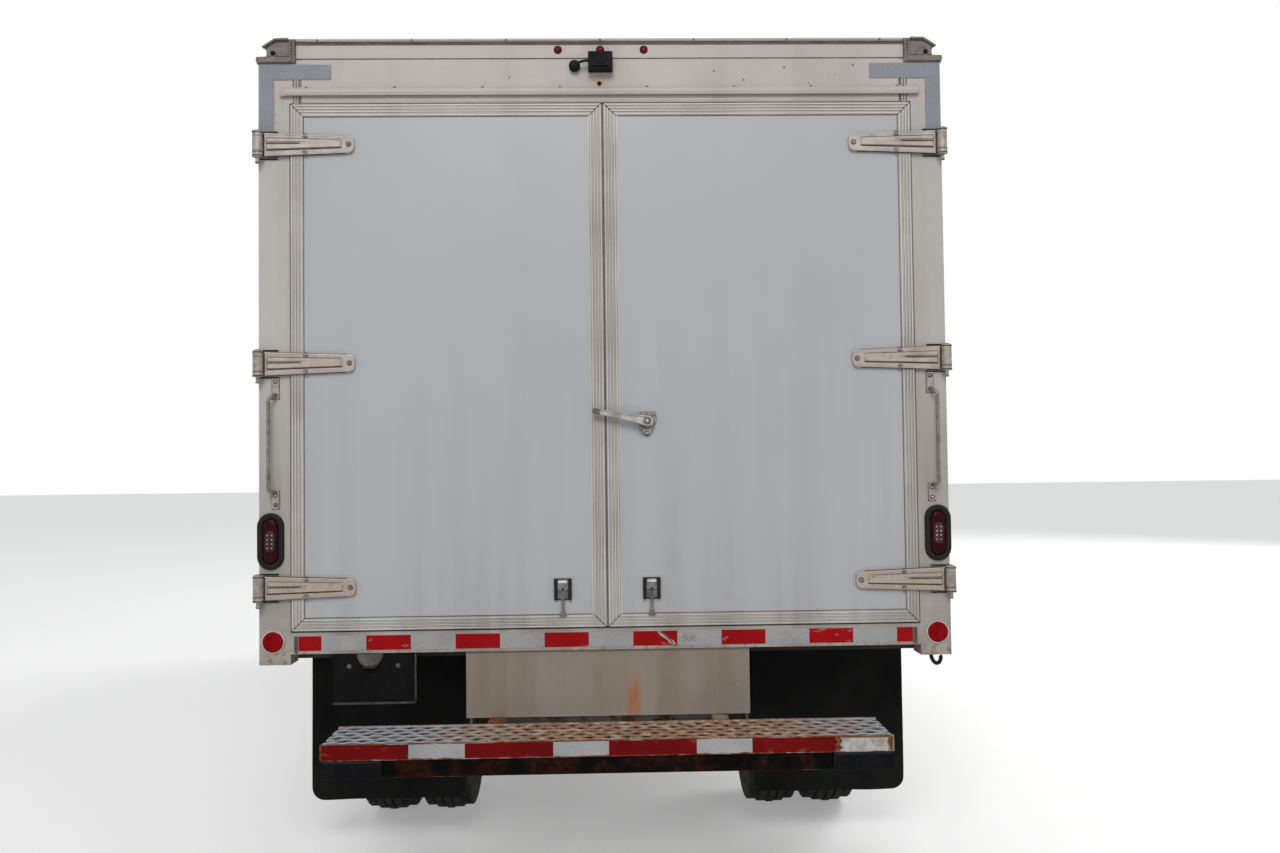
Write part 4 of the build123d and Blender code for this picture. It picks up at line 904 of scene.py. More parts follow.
reflectors = Piece(red_lens, body_rear, -1)
for side in reflectors.both():
    spot = (1170, 0, 912)
    reflectors.lathe(spot, OUT, [(0, 41), (4, 41), (7, 38.5), (7, 36)], alloy, 40)
    reflectors.lathe(spot, OUT, [(0, 36.5), (7.5, 36.5), (9.5, 33), (10.5, 20), (10.8, 4)], red_lens, 40)
reflectors.done("reflectors", "chassis", "lamp_red")

hook = Piece(rubber, body_rear, -1)
bend = [(1152, -24, 838), (1153, -22, 818), (1164, -18, 800), (1178, -18, 800), (1187, -22, 816)]
hook.tube(bend + [(1184, -24, 824)], 7)
hook.box((1138, 1164), (-12, -36), (828, 838), edge=2)
hook.done("tie_hook", "chassis", "rubber")

sill_tape = Piece(red_tape, body_rear, -1)
patches = [(-1083, -1003, red_tape), (1025, 1083, red_tape)]
for k in range(7):
    start = -1003 + 312 * k
    patches.append((start, start + 156, white_tape))
    if k < 6:
        patches.append((start + 156, start + 312, red_tape))
for start, end, material in patches:
    sill_tape.box((start + 0.4, end - 0.4), (0, 0.6), (879, 930), material)
# Torn sheeting: a slanting scrape over the red block, and scribbled scratches beside it
torn = [(176, 929), (186, 930), (193, 921), (206, 915), (217, 903), (229, 897), (240, 884), (231, 881)]
torn += [(219, 887), (209, 899), (197, 906), (187, 914), (178, 922)]
sill_tape.plate(torn, 0.6, 0.3, scuffed_silver)
scrape = [(183, 926), (199, 914), (215, 899), (233, 883), (236, 884), (219, 902), (202, 918), (186, 929)]
sill_tape.plate(scrape, 0.8, 0.3, seam_and_shade_brown)
for k in range(5):
    ring = []
    for step in range(9):
        angle = 2 * math.pi * step / 9 + k
        ring.append((268 + 9 * k + 7 * math.cos(angle), 0.9, 902 + 4 * (k % 2) + 9 * math.sin(angle)))
    sill_tape.tube(ring, 0.45, seam_and_shade_brown, 5, 2)
sill_tape.done("sill_sheeting", "chassis", "body_white")

lamps = Piece(red_lens, body_rear, -1)
lamp_z = 1263
rim = [(0, 0), (0, 5), (1.5, 8.5), (5, 10.5), (11, 11), (16, 10.5), (19, 8), (20, 4), (21, 1)]
lens = [(0, 0), (0, 5), (1.2, 8), (4, 11), (8, 13), (14, 14.6), (22, 15.5)]
for side in lamps.both():
    lamps.oval((1178, 0, lamp_z), 94, 199, rim, rubber, 14, (True, False))
    lamps.oval((1178, 0, lamp_z), 54, 160, lens, lamp_red_dark, 14, (False, True))
    lamps.oval((1178, 14.6, lamp_z), 34, 76, [(0, 0), (0.6, 1.4), (3, 2.2), (10, 2.6)], lamp_cluster, 12)
    for row in range(4):
        for column in (-1, 1):
            spot = (1178 + column * 7.5, 17, lamp_z - 23 + row * 15)
            lamps.dome(spot, OUT, 2.7, 1.2, clear_lens, 12, 3)
    for row in (-66, -54, 54, 66):
        lamps.dome((1178, 12.4, lamp_z + row), OUT, 6, 2.4, lamp_red_dark, 14, 3)
    groove = [(0, 0), (0.4, 0.7), (1.6, 0.7), (2, 0)]
    lamps.oval((1178, 11, lamp_z), 72, 178, groove, rubber, 14, (False, False))
lamps.done("stop_lamps", "chassis", "lamp_red", ["tail_lamps"])

# Grab handles: a bar that bends out from its two plates
bars = Piece(handle_steel, body_rear, -1)
reach = body_rear - (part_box("grab_handles")[0][1] * 1000 + 9)
plate_x = 1160
for side in bars.both():
    for low, high in ((1376, 1438), (1762, 1838)):
        # A dark plate a little larger than each bracket, and dark rings round its bolts: painted shade
        bars.box((plate_x - 14.5, plate_x + 14.5), (0, 1), (low - 1.5, high + 1.5), seam_and_shade_brown)
        bars.box((plate_x - 12.5, plate_x + 12.5), (0.5, 5.5), (low, high), barrel_paint, 3)
        for z in (low + 14, high - 14):
            bars.disc((plate_x, 5.4, z), OUT, 8, 0.4, strap_shade, 16)
            bars.dome((plate_x, 5.6, z), OUT, 5.2, 3.4, bolt_steel, 14, 4)
    head = [(plate_x, 4, 1774), (plate_x + 5, 24, 1769), (plate_x + 14, reach - 3, 1761)]
    grip = [(plate_x + 16, reach, z) for z in (1750, 1735, 1600, 1465, 1452)]
    foot = [(plate_x + 14, reach - 3, 1443), (plate_x + 5, 24, 1437), (plate_x, 4, 1432)]
    bars.tube(head + grip + foot, 6.5, handle_steel, 14)
bars.done("grab_handle_bars", "chassis", "galvanised", ["grab_handles"])


# Hinges: raised ribs, bolts and butt plates. The pressed plate lies between two distances out

strap_back = 9.3
strap_front = 17.3
pin_out = 25


def strap_section(piece, x, z):
    """The pressed plate's outline at x, from its lower to its upper edge."""
    along = (1193 - x) / (1193 - 908)
    if along <= 1:
        half = 41 - 11 * along
    else:
        half = max(0.0, 1 - ((908 - x) / 28.5) ** 3) ** (1 / 3) * 30
    rib_low, rib_high = -19 + 8 * along, 24 - 7 * along
    rise = 15 if 924 < x < 1187 else 8
    dip = rise - (5.5 * min(1.0, max(0.0, (x - 1046) / 30)) if x < 1187 else 0.0)
    limit = max(half - 4.5, 0.2)
    outline = [
        (9.6, 2 - half), (8, 5 - half), (8, rib_low), (rise, rib_low + 3), (rise, -1), (dip, 2),
        (dip, 7), (rise, 10), (rise, rib_high - 4), (8, rib_high), (8, half - 5), (9.6, half - 2),
    ]
    outline = [(out, max(-limit, min(limit, up))) for out, up in outline]
    outline = [(0, -half), (8.5, -half), *outline, (8.5, half), (0, half)]
    return [piece.spot(x, strap_back + out, z + up) for out, up in outline]


for name, side in sides:
    strap = Piece(strap_paint, body_rear, -1, side)
    stations = (1193, 1188, 1182, 1140, 1100, 1076, 1046, 1000, 960)
    stations += (928, 921, 908, 900, 892, 886, 883, 881, 880)
    for z in hinge_heights:
        strap.loft([strap_section(strap, x, z) for x in stations])
        # Painted shade along the foot of the rib, along its top and in its groove, then along the plate's
        # edges and between the plate and its barrel
        for start, start_up, end, end_up, out, radius in (
            (1186, -20, 924, -12, strap_front, 2.2), (1186, 25, 924, 18, strap_front, 0.8),
            (1186, 3, 1060, 4, strap_front + 2, 1.6), (1191, -41.5, 912, -31, 11, 1.6),
            (1191, 41.5, 912, 31, 11, 1.6), (1195.5, -38, 1195.5, 38, strap_front + 0.5, 2.2),
        ):
            strap.tube([(start, out, z + start_up), (end, out, z + end_up)], radius, strap_shade, 6, 0)
        strap.box((895, 1057), (5, strap_back), (z - 24, z + 24))
        strap.box((1191, hinge_x), (strap_back, strap_front), (z - 26, z + 26), edge=1)
        barrel = [(0, 17), (1, 18), (51, 18), (52, 17)]
        strap.lathe((hinge_x, pin_out, z - 26), UP, barrel, barrel_paint, 28)
        for x, up in ((1051, -30.5), (1051, 30.5), (898, 0)):
            # A dark ring of painted shade round each bolt head
            strap.disc((x, strap_front - 1, z + up), OUT, 9.8, 1.4, strap_shade, 16)
            strap.bolt((x, strap_front, z + up), OUT, 7.6, painted_bolt)
        # Old sealant and shadow round the plate where it meets the panel
        strap.box((1150, 1192), (0.4, strap_back), (z + 40, z + 43), seam_and_shade_brown)
        strap.box((1150, 1192), (5.4, strap_back), (z - 43, z - 40), seam_and_shade_brown)
    replaced = [f"hinge_straps_{name}"]
    strap.done(f"hinge_plates_{name}", f"rear_door_{name}", "body_white", replaced, bevel=0.7)

butts = Piece(barrel_paint, body_rear, -1)
for side in butts.both():
    for z in hinge_heights:
        butts.lathe((hinge_x, pin_out, z + 46.5), UP, [(0, 15), (3, 12), (5, 5)], painted_bolt, 20)
        for gap, height in ((-44, 3), (-30, 1.6), (39, 3)):
            butts.disc((hinge_x, pin_out, z + gap), UP, 18.8, height, dark_gap)
        # Dark strips of painted shadow above and below the hinge
        for low in (-50, 47):
            butts.box((1150, 1219), (0, 6), (z + low, z + low + 3), dark_gap, 0.8)
        butts.lathe((hinge_x, pin_out, z - 64), DOWN, [(0, 8.5), (3, 8.5), (5, 6)], painted_bolt, 16)
butts.done("hinge_pin_caps", "chassis", "body_white")


# Latch, slide bolts, seals and mitre lines

latch = Piece(latch_dark, door_face, -1)
base = []
for k in range(40):
    angle = 2 * math.pi * k / 40
    lobes = 3.5 * math.cos(3 * (angle - math.pi / 6))
    drop = 9 * max(0.0, -math.sin(angle)) ** 3
    base.append(((33 + lobes) * math.cos(angle), (39 + lobes + drop) * math.sin(angle)))
for size, out, thick, material in ((1, 0, 4, seam_and_shade_brown), (0.93, 4, 8, latch_metal)):
    latch.plate([(hub_x + size * x, hub_z - 2 + size * z) for x, z in base], out, thick, material)
turns = [math.pi / 3 * k + 0.3 for k in range(6)]
latch.plate([(hub_x + 23 * math.cos(a), hub_z + 23 * math.sin(a)) for a in turns], 12, 16, latch_metal)
latch.lathe((hub_x, 11, hub_z), OUT, [(0, 28), (1.5, 28), (3, 26)], latch_dark, 32)
for x, z in ((hub_x, 1629), (hub_x - 25, 1697), (hub_x + 25, 1697)):
    latch.lathe((x, 12, z), OUT, [(0, 7.5), (1, 7.5), (1, 5)], latch_dark, 16)
    latch.dome((x, 12, z), OUT, 5, 3, bolt_steel, 12, 3)
# The lever: a flat pressed arm with a rolled edge, narrowing to a dark tip.
# Each station is a share of its length, half its height, its distance out and its depth
hub = Vector((hub_x, 0, hub_z))
lever = Vector((-45, 0, 1709)) - hub
way = lever.normalized()
across = Vector((-way.z, 0, way.x))
stations = (
    (-0.11, 13, 30, 7), (-0.04, 19, 29, 11), (0.06, 19, 29, 12), (0.16, 15, 29, 12), (0.3, 12.5, 29, 11),
    (0.6, 11, 29, 10), (0.86, 10, 29, 9), (0.9, 10.5, 28, 10), (0.97, 10, 28, 10), (1.0, 7, 29, 7),
)
section = (
    (-1, 0.1), (-1, 0.75), (-0.86, 1), (-0.66, 1), (-0.55, 0.72), (0.5, 0.72),
    (0.62, 1), (0.86, 1), (1, 0.75), (1, 0.1), (0.8, 0), (-0.8, 0),
)
for first, last, material in ((0, 7, latch_metal), (6, 10, latch_dark)):
    loops = []
    for share, half, back, thick in stations[first:last]:
        loop = []
        for reach, out in section:
            spot = hub + lever * share + across * (half * reach)
            loop.append(latch.spot(spot.x, back + thick * out, spot.z))
        loops.append(loop)
    latch.loft(loops, material)
latch.lathe((hub_x, 38, hub_z), OUT, [(0, 15), (4, 14), (5, 10)], latch_dark, 6)
latch.dome((hub_x, 42, hub_z), OUT, 6.5, 3, bolt_steel, 16, 3)
latch.rod((120, 30, 1640), (152, 20, 1656), 4.5, latch_dark, 12, 1)
latch.done("latch_lever", "rear_door_right", "galvanised", ["door_latch"], bevel=0.6)

for name, side in sides:
    bolt = Piece(bright_steel, door_face, -1, side)
    middle = 156.5
    low, high, z_low, z_high = middle - 31, middle + 31, 1044, 1120
    bolt.box((low, high), (0, 3), (z_low, z_high), rubber, 1)
    for x in (low, high - 11):
        bolt.box((x, x + 11), (2, 14), (z_low, z_high), rubber, 2)
        for z in range(z_low + 5, z_high, 8):
            bolt.box((x + 1, x + 10), (13, 15.5), (z, z + 4), black_plastic, 0.6)
    bolt.box((low + 12, high - 12), (2, 11), (z_high - 42, z_high - 3), bolt_grey, 2)
    bolt.box((low + 15, high - 15), (10, 14), (z_high - 16, z_high - 7), bright_steel, 1.5)
    bolt.lathe((middle, 11, z_high - 25), OUT, [(0, 9), (2, 9), (2, 7)], bolt_grey)
    bolt.disc((middle, 11, z_high - 25), OUT, 7.1, 1, dark_gap)
    bolt.box((middle - 4, middle + 4), (10, 12.5), (z_high - 40, z_high - 35), dark_gap, 0.5)
    bolt.box((low + 12, high - 12), (2, 9), (z_low + 3, z_high - 43), latch_dark, 1.5)
    for k in range(5):
        x = low + 16 + 7.5 * k
        bolt.box((x - 2, x + 2), (8, 12), (z_low + 5, z_high - 45), bolt_grey, 1)
    bolt.rod((middle, 9, 992), (middle, 9, z_low + 6), 5, bolt_grey, 16, 1)
    bolt.box((middle - 13, middle + 13), (4, 13), (988, 996), latch_dark, 2)
    bolt.box((middle - 8, middle + 8), (0, 14), (1004, 1011), bolt_grey, 1.5)
    bolt.done(f"slide_bolt_{name}", f"rear_door_{name}", "galvanised", bevel=0.4)

# A strip filling the gap between the doors, coloured as the gap's painted shade
seal = Piece(rubber, door_face)
seal.box((-2.9, 1.9), (0, 34), (950, 2807), joint_shade, 0.8)
seal.done("centre_seal", "rear_door_left", "rubber")

# Thin brown lines round each panel inside its mouldings: caulk, and painted shade where panel meets moulding
for name, side in sides:
    caulk_and_shade = Piece(seam_and_shade_brown, door_face, -1, side)
    for x in (47, 1059.2):
        caulk_and_shade.box((x - 1.1, x + 1.1), (0, 1.4), (993, 2764))
    for z in (994.2, 2762.8):
        caulk_and_shade.box((48, 1058), (0, 1.4), (z - 1.1, z + 1.1))
    caulk_and_shade.done(f"panel_caulk_and_shade_{name}", f"rear_door_{name}", "rubber")

for name, side in sides:
    lines = Piece(dark_gap, door_face, -1, side)
    for x, inward in ((3, 1), (1105, -1)):
        for z, upward in ((948, 1), (2809, -1)):
            ends = ((1, -0.7), (1, 0.7), (45, 0.7), (45, -0.7))
            outline = [(x + inward * (far + slip), z + upward * (far - slip)) for far, slip in ends]
            lines.plate(outline, 1.9, 2.2)
    lines.done(f"mitre_lines_{name}", f"rear_door_{name}", "rubber")


# Step: sheeting, grip tread, brackets, plate lamp

step_tape = Piece(shaded_red_tape, rear_y, -1)
for start, end, material in (
    (-914, -637, shaded_red_tape), (-458, -177, shaded_red_tape), (1.5, 282, shaded_red_tape),
    (461, 741, shaded_red_tape), (-637, -458, white_tape), (-177, 1.5, white_tape), (282, 461, white_tape),
):
    count = max(4, int((end - start) / 16))
    lower = []
    for k in range(count + 1):
        x = start + 0.5 + (end - start - 1) * k / count
        lower.append((x, 590 + random.uniform(0, 4.5 if material is white_tape else 1.6)))
    top = [(end - 0.5, 637), (start + 0.5, 637)]
    if end == 741:
        top = [(730, 637), (start + 0.5, 637)]
        lower[-1] = (722, 592)
        lower += [(733, 604), (726, 612), (739, 621), (728, 628)]
    step_tape.plate(lower + top, 0, 0.7, material)
silver = [(741, 592), (896, 590), (900, 606), (894, 619), (901, 632), (745, 633), (750, 622), (742, 612)]
step_tape.plate(silver + [(752, 602)], 0, 0.5, scuffed_silver)
rust_edge = [(741, 630), (900, 629), (904, 590), (914, 590), (914, 637), (741, 637)]
step_tape.plate(rust_edge, 0, 0.3, rust_scale)
step_tape.done("step_sheeting", "chassis", "body_white")

# The tread is one zigzag strand after another, with diamond holes between them
tread = Piece(tread_look, rear_y)
depth = 259
strands = 6
first_y = 26
strand_step = (depth - 22 - first_y) / (strands - 1)
half = 11.9
swing = 9.2
fine = 8
count = 60 * fine
for row in range(strands):
    turned = 1 if row % 2 else -1
    loops = []
    for k in range(count + 1):
        x = -914 + 1828 * k / count
        phase = (k / fine) % 2
        middle = first_y + row * strand_step + turned * swing * (1 - 2 * min(phase, 2 - phase))
        tip = 638 + (1.8 if k % 2 else 0.2)
        loops.append([
            tread.spot(x, middle + aside, z) for aside, z in (
                (-half, 635.5), (half, 635.5), (half, tip), (half - 2, tip),
                (half - 3, 636.8), (3 - half, 636.8), (2 - half, tip), (-half, tip),
            )
        ])
    tread.loft(loops)
for y in (5, depth - 11):
    tread.box((-916, 916), (y, y + 6), (628, 640), edge=1.5)
for x in (-918, -306, 301, 913):
    tread.box((x, x + 5), (6, depth - 6), (612, 632), channel_steel, 1)
# A dark sheet under the strands, so the holes show painted shade
tread.box((-910, 910), (10, depth - 10), (594, 596), dark_gap)
tread.done("grip_tread", "chassis", "galvanised", ["step_tread"], angle=30)

step_bolts = Piece(channel_steel, rear_y, -1)
for x in (-700, -420, -140, 140, 420, 700):
    step_bolts.bolt((x, -5, 560), OUT, 13, channel_steel)
step_bolts.box((-718, 718), (-8, -5), (533, 588), channel_steel, 1.5)
step_bolts.box((-918, 918), (0, 0.8), (637.6, 640), step_steel, 0.3)
step_bolts.box((914, 918), (0, 0.8), (589, 638), step_steel, 0.3)
for side in step_bolts.both():
    step_bolts.box((724, 912), (-1.2, -30), (578, 587), dock_edge, 2)
step_bolts.done("step_front_channel", "chassis", "galvanised")

# The dome lamp hangs from the sill over the bracket, whose folded rim is paler along its foot and one upright
# edge
plate_lamp = Piece(bracket_black, body_rear, -1)
loops = []
for out, size in ((-2, 1.0), (10, 0.98), (18, 0.9), (23, 0.72)):
    loop = []
    for k in range(15):
        angle = math.pi * k / 14
        x, z = -833.5 - 45.5 * size * math.cos(angle), 866 - 48 * size * math.sin(angle)
        loop.append(plate_lamp.spot(x, out, z))
    loops.append(loop)
plate_lamp.loft(loops, lamp_housing)
plate_lamp.box((-858, -809), (6, 21), (818, 828), lamp_cluster, 3)
for x in (-907, -737):
    plate_lamp.bolt((x, -2, 823), OUT, 8, lamp_housing)
plate_lamp.box((-965, -672), (-2, 5), (690, 698), pale_rim, 2)
plate_lamp.box((-678, -672), (-2, 5), (690, 866), pale_rim, 2)
plate_lamp.box((-965, -961), (-2, 4), (690, 866), bracket_black, 1.5)
plate_lamp.done("plate_lamp", "chassis", "galvanised")


# Box sides, roof and front

seams = [box_start + 595 * (k + 1) for k in range(6)]
for name, side in sides:
    panels = Piece(side_paint, side=side)
    for y in seams:
        panels.box((half_body, half_body + 2), (y - 22, y + 22), (946, 2947), edge=0.7)
        for z in rows(970, 2925, 115):
            for offset in (-13, 13):
                panels.rivet((half_body + 2, y + offset, z), ASIDE)
    for z, out in ((926, 4), (960, 0), (2938, 0), (2972, 4)):
        for y in rows(box_start + 30, body_front - 40, 105):
            panels.rivet((half_body + out, y, z), ASIDE)
    # Lower rail: a rounded lip and the wear strip along its foot
    panels.box((half_body + 3, half_body + 6), (box_start, body_front), (934, 943), alloy, 1.5)
    panels.box((half_body + 3, half_body + 7), (box_start, body_front), (838, 850), alloy, 2)
    # Front corner post, rounded
    corner = []
    for k in range(7):
        angle = math.pi / 2 * k / 6
        corner.append((31 * math.cos(angle) - 26, 31 * math.sin(angle) - 26))
    corner += [(-60, 5), (-60, 0), (0, -1), (0, -60), (5, -60)]
    ends = (843, 2990)
    panels.loft([[panels.spot(half_body + x, body_front + y, z) for x, y in corner] for z in ends], alloy)
    for z in rows(900, 2930, 130):
        panels.rivet((half_body + 5, body_front - 45, z), ASIDE)
        panels.rivet((half_body - 45, body_front + 5, z), OUT)
    panels.done(f"side_panels_{name}", "chassis", "body_white")

    marks = Piece(red_tape, side=side)
    for start in (-2700, -1200, 300):
        for k in range(4):
            y = start + 229 * k
            material = white_tape if k % 2 else red_tape
            marks.box((half_body + 3.5, half_body + 4.6), (y, y + 229), (866, 916), material)
    marks.done(f"side_sheeting_{name}", "chassis", "body_white")

    small = Piece(rubber, side=side)
    for y, z, material in (
        (-2640, 985, red_lens), (-700, 985, amber_lens), (1300, 985, amber_lens),
        (1300, 2900, amber_lens), (-2640, 2900, red_lens),
    ):
        small.lathe((half_body, y, z), ASIDE, [(0, 34), (5, 34), (8, 30), (8, 26)], rubber, 32)
        small.dome((half_body + 6, y, z), ASIDE, 27, 12, material, 32, 6)
    small.done(f"side_marker_lamps_{name}", "chassis", "lamp_red")

roof = Piece(alloy)
for y in seams:
    roof.box((-1190, 1190), (y - 16, y + 16), (roof_top, roof_top + 2), edge=0.7)
    for x in rows(-1160, 1160, 150):
        for offset in (-9, 9):
            roof.rivet((x, y + offset, roof_top + 2), UP, 4, 1.8)
for side in roof.both():
    roof.box((1182, 1223), (box_start, body_front + 3), (roof_top - 36, roof_top + 4), edge=6, segments=3)
    for y in rows(box_start + 40, body_front - 40, 130):
        roof.rivet((1201, y, roof_top + 4), UP)
roof.box((-1190, 1190), (body_front - 40, body_front + 5), (roof_top - 40, roof_top + 4), edge=6, segments=3)
roof.box((-1190, 1190), (box_start + 1, box_start + 40), (roof_top, roof_top + 3), edge=1)
roof.done("roof_trim", "chassis", "aluminium")

nose = Piece(side_paint, body_front)
for x in (-790, -395, 0, 395, 790):
    nose.box((x - 20, x + 20), (0, 2), (930, 2950), edge=0.7)
    for z in rows(955, 2930, 120):
        for offset in (-11, 11):
            nose.rivet((x + offset, 2, z), OUT)
nose.box((-1160, 1160), (0, 5), (913, 935), alloy, 2)
nose.box((-1160, 1160), (0, 5), (2948, 2992), alloy, 2)
for x in (-1100, -230, 0, 230, 1100):
    nose.box((x - 52, x + 52), (4, 10), (2953, 2987), rubber, 3)
    nose.box((x - 45, x + 45), (8, 24), (2957, 2983), amber_lens, 7, 3)
nose.done("front_wall_trim", "chassis", "body_white")


# Cargo space

load_space = Piece(floor_wood)
boards = [-1176 + 181 * k for k in range(13)]
for x in boards:
    load_space.box((x, x + 179.5), (box_start + 2, body_front - 42), (deck_top - 2, deck_top + 2.5), edge=0.8)
for y in rows(box_start + 60, body_front - 90, 300):
    for x in boards:
        for offset in (30, 150):
            spot = (x + offset, y, deck_top + 2.5)
            load_space.lathe(spot, UP, [(0, 5), (0.4, 4.6)], cast_iron, 8, (False, True))
load_space.done("floor_planks", "chassis", "wood_floor")

lining = Piece(ply_lining)
for side in lining.both():
    for k in range(4):
        start = box_start + 4 + 1030 * k
        lining.box((inner_half, inner_half - 10), (start, start + 1027), (deck_top + 3, 1560), edge=1)
        for y in (start + 25, start + 510, start + 1000):
            for z in (990, 1260, 1530):
                lining.dome((inner_half - 10, y, z), INWARD, 6, 1.5, cast_iron, 10, 2)
    lining.box((inner_half, inner_half - 14), (box_start + 4, body_front - 42), (1560, 1585), alloy, 2)
    for y in rows(box_start + 60, body_front - 80, 406):
        lining.box((inner_half, inner_half - 13), (y - 19, y + 19), (1585, 2988), alloy, 2)
        lining.box((inner_half - 12, inner_half - 14), (y - 7, y + 7), (1600, 2980), side_paint, 0.5)
    for z in (1950, 2400):
        slat = (inner_half - 13, inner_half - 31)
        lining.box(slat, (box_start + 10, body_front - 50), (z, z + 88), ply_lining, 3)
for k in range(4):
    x = -1168 + 584 * k
    lining.box((x, x + 582), (body_front - 40, body_front - 50), (deck_top + 3, 2160), edge=1)
lining.done("wall_lining", "chassis", "wood_floor")

bows = Piece(alloy)
for y in rows(box_start + 120, body_front - 120, 600):
    bows.box((-1176, 1176), (y - 20, y + 20), (2968, 2990), edge=2)
    for x in (-1150, 1150):
        bows.box((x - 24, x + 24), (y - 30, y + 30), (2950, 2970), cast_iron, 2)
for y in (-1650, 250):
    bows.box((-120, 120), (y - 50, y + 50), (2958, 2970), black_plastic, 4)
    bows.box((-108, 108), (y - 40, y + 40), (2944, 2960), clear_lens, 8, 3)
bows.done("roof_bows", "chassis", "aluminium")

# The doors' inner faces: a frame of strips, lock rods' keepers and the seal round the edge
for name, side in sides:
    inner = Piece(alloy, door_face + 40, side=side)
    low_x, high_x = 4, 1104
    for x in (low_x, high_x - 46):
        inner.box((x, x + 46), (0, 2.5), (950, 2807), edge=0.8)
        for z in rows(985, 2770, 140):
            inner.dome((x + 23, 2.5, z), OUT, 5, 2, alloy, 10, 2)
    for z in (950, 2761):
        inner.box((low_x + 47, high_x - 47), (0, 2.5), (z, z + 46), edge=0.8)
    for z in (1090, 1876, 2652):
        inner.box((high_x - 270, high_x - 48), (0, 3), (z, z + 42), galvanised, 1)
        for x in (high_x - 250, high_x - 160, high_x - 70):
            inner.bolt((x, 3, z + 21), OUT, 12, bolt_steel)
    for z in (953, 2800):
        inner.box((8, 1100), (2, 8), (z, z + 4), rubber, 1.5)
    inner.box((1096, 1100), (2, 8), (957, 2800), rubber, 1.5)
    if name == "right":
        inner.box((116, 176), (0, 6), (1630, 1710), galvanised, 2)
        inner.rod((hub_x, 0, hub_z), (hub_x, 20, hub_z), 9, bolt_steel, 20, 2)
        inner.box((138, 154), (14, 22), (1640, 1702), galvanised, 2)
    inner.done(f"door_lining_{name}", f"rear_door_{name}", "aluminium")


# Mud flaps: sheets that hang with a slight curl

flaps = Piece(flap_rubber, body_rear + 600)
flap_top, flap_foot, flap_corner = 838, 190, 50
levels = [(flap_top - (flap_top - flap_foot - flap_corner) * k / 10, 0) for k in range(11)]
for k in range(1, 8):
    turn = math.pi / 2 * k / 7
    levels.append((flap_foot + flap_corner * (1 - math.sin(turn)), flap_corner * (1 - math.cos(turn))))
columns = 22
for side in flaps.both():
    loops = []
    for z, inset in levels:
        fall = (flap_top - z) / (flap_top - flap_foot)
        loop = []
        for out, order in ((4, range(columns + 1)), (-4, range(columns, -1, -1))):
            for k in order:
                x = 580 + inset + (610 - 2 * inset) * k / columns
                curl = fall**2 * (5 * math.sin(k * 0.55 + side) + 7 * math.cos(fall * 4.8))
                loop.append(flaps.spot(x, out + curl, z))
        loops.append(loop)
    flaps.loft(loops)
    flaps.box((585, 1185), (-8, -3), (806, 836), chassis_black, 1.5)
    for k in range(5):
        flaps.bolt((620 + 132 * k, -8, 821), BACK, 13, bolt_steel)
flaps.done("hanging_flaps", "chassis", "rubber", ["mud_flaps"])


# Wheels. The trim's y values are measured from its axle


def tyre_loops(x, y):
    """Closed sections round a tyre whose middle plane is at x, with five ribs of notched blocks."""
    sections = 132
    loops = []
    for k in range(sections + 1):
        angle = 2 * math.pi * k / sections
        notch = 6.0 if k % 3 == 0 else 0.0
        sipe = 2.5 if k % 2 else 0.0
        wall = [
            (81, 203.5), (84, 226), (92, 240), (95, 243), (101, 262), (106, 290), (106.5, 312), (104, 330),
            (104.8, 333), (102, 352 - notch * 0.4), (98, 366 - notch),
        ]
        outline = [(-u, r) for u, r in wall]
        for low, high in ((-95, -62), (-54, -22), (-13, 13), (22, 54), (62, 95)):
            crown = 385 - 15 * (max(abs(low), abs(high)) / 97) ** 2
            drop = notch if max(abs(low), abs(high)) > 90 else sipe
            outline += [(low, crown - 11 if abs(low) < 90 else crown - drop), (low + 1, crown - drop)]
            outline += [(high - 1, crown - drop), (high, crown - 11 if abs(high) < 90 else crown - drop)]
        outline += wall[::-1] + [(58, 203.5), (80, 345), (-80, 345), (-58, 203.5)]
        loops.append([(x + u, y + r * math.cos(angle), wheel_z + r * math.sin(angle)) for u, r in outline])
    return loops


def wheel_nuts(piece, x, circle, count, size, turn):
    for k in range(count):
        angle = 2 * math.pi * k / count + turn
        spot = (x, circle * math.cos(angle), wheel_z + circle * math.sin(angle))
        piece.bolt(spot, ASIDE, size, bolt_steel)


def valve(piece, x, reach, angle):
    y, z = 168 * math.cos(angle), wheel_z + 168 * math.sin(angle)
    piece.rod((x, y, z), (x + reach, y, z), 3.2, bright_steel, 10, 0.5)
    piece.rod((x + reach - 2, y, z), (x + reach + 9, y, z), 4.5, rubber, 10, 1)


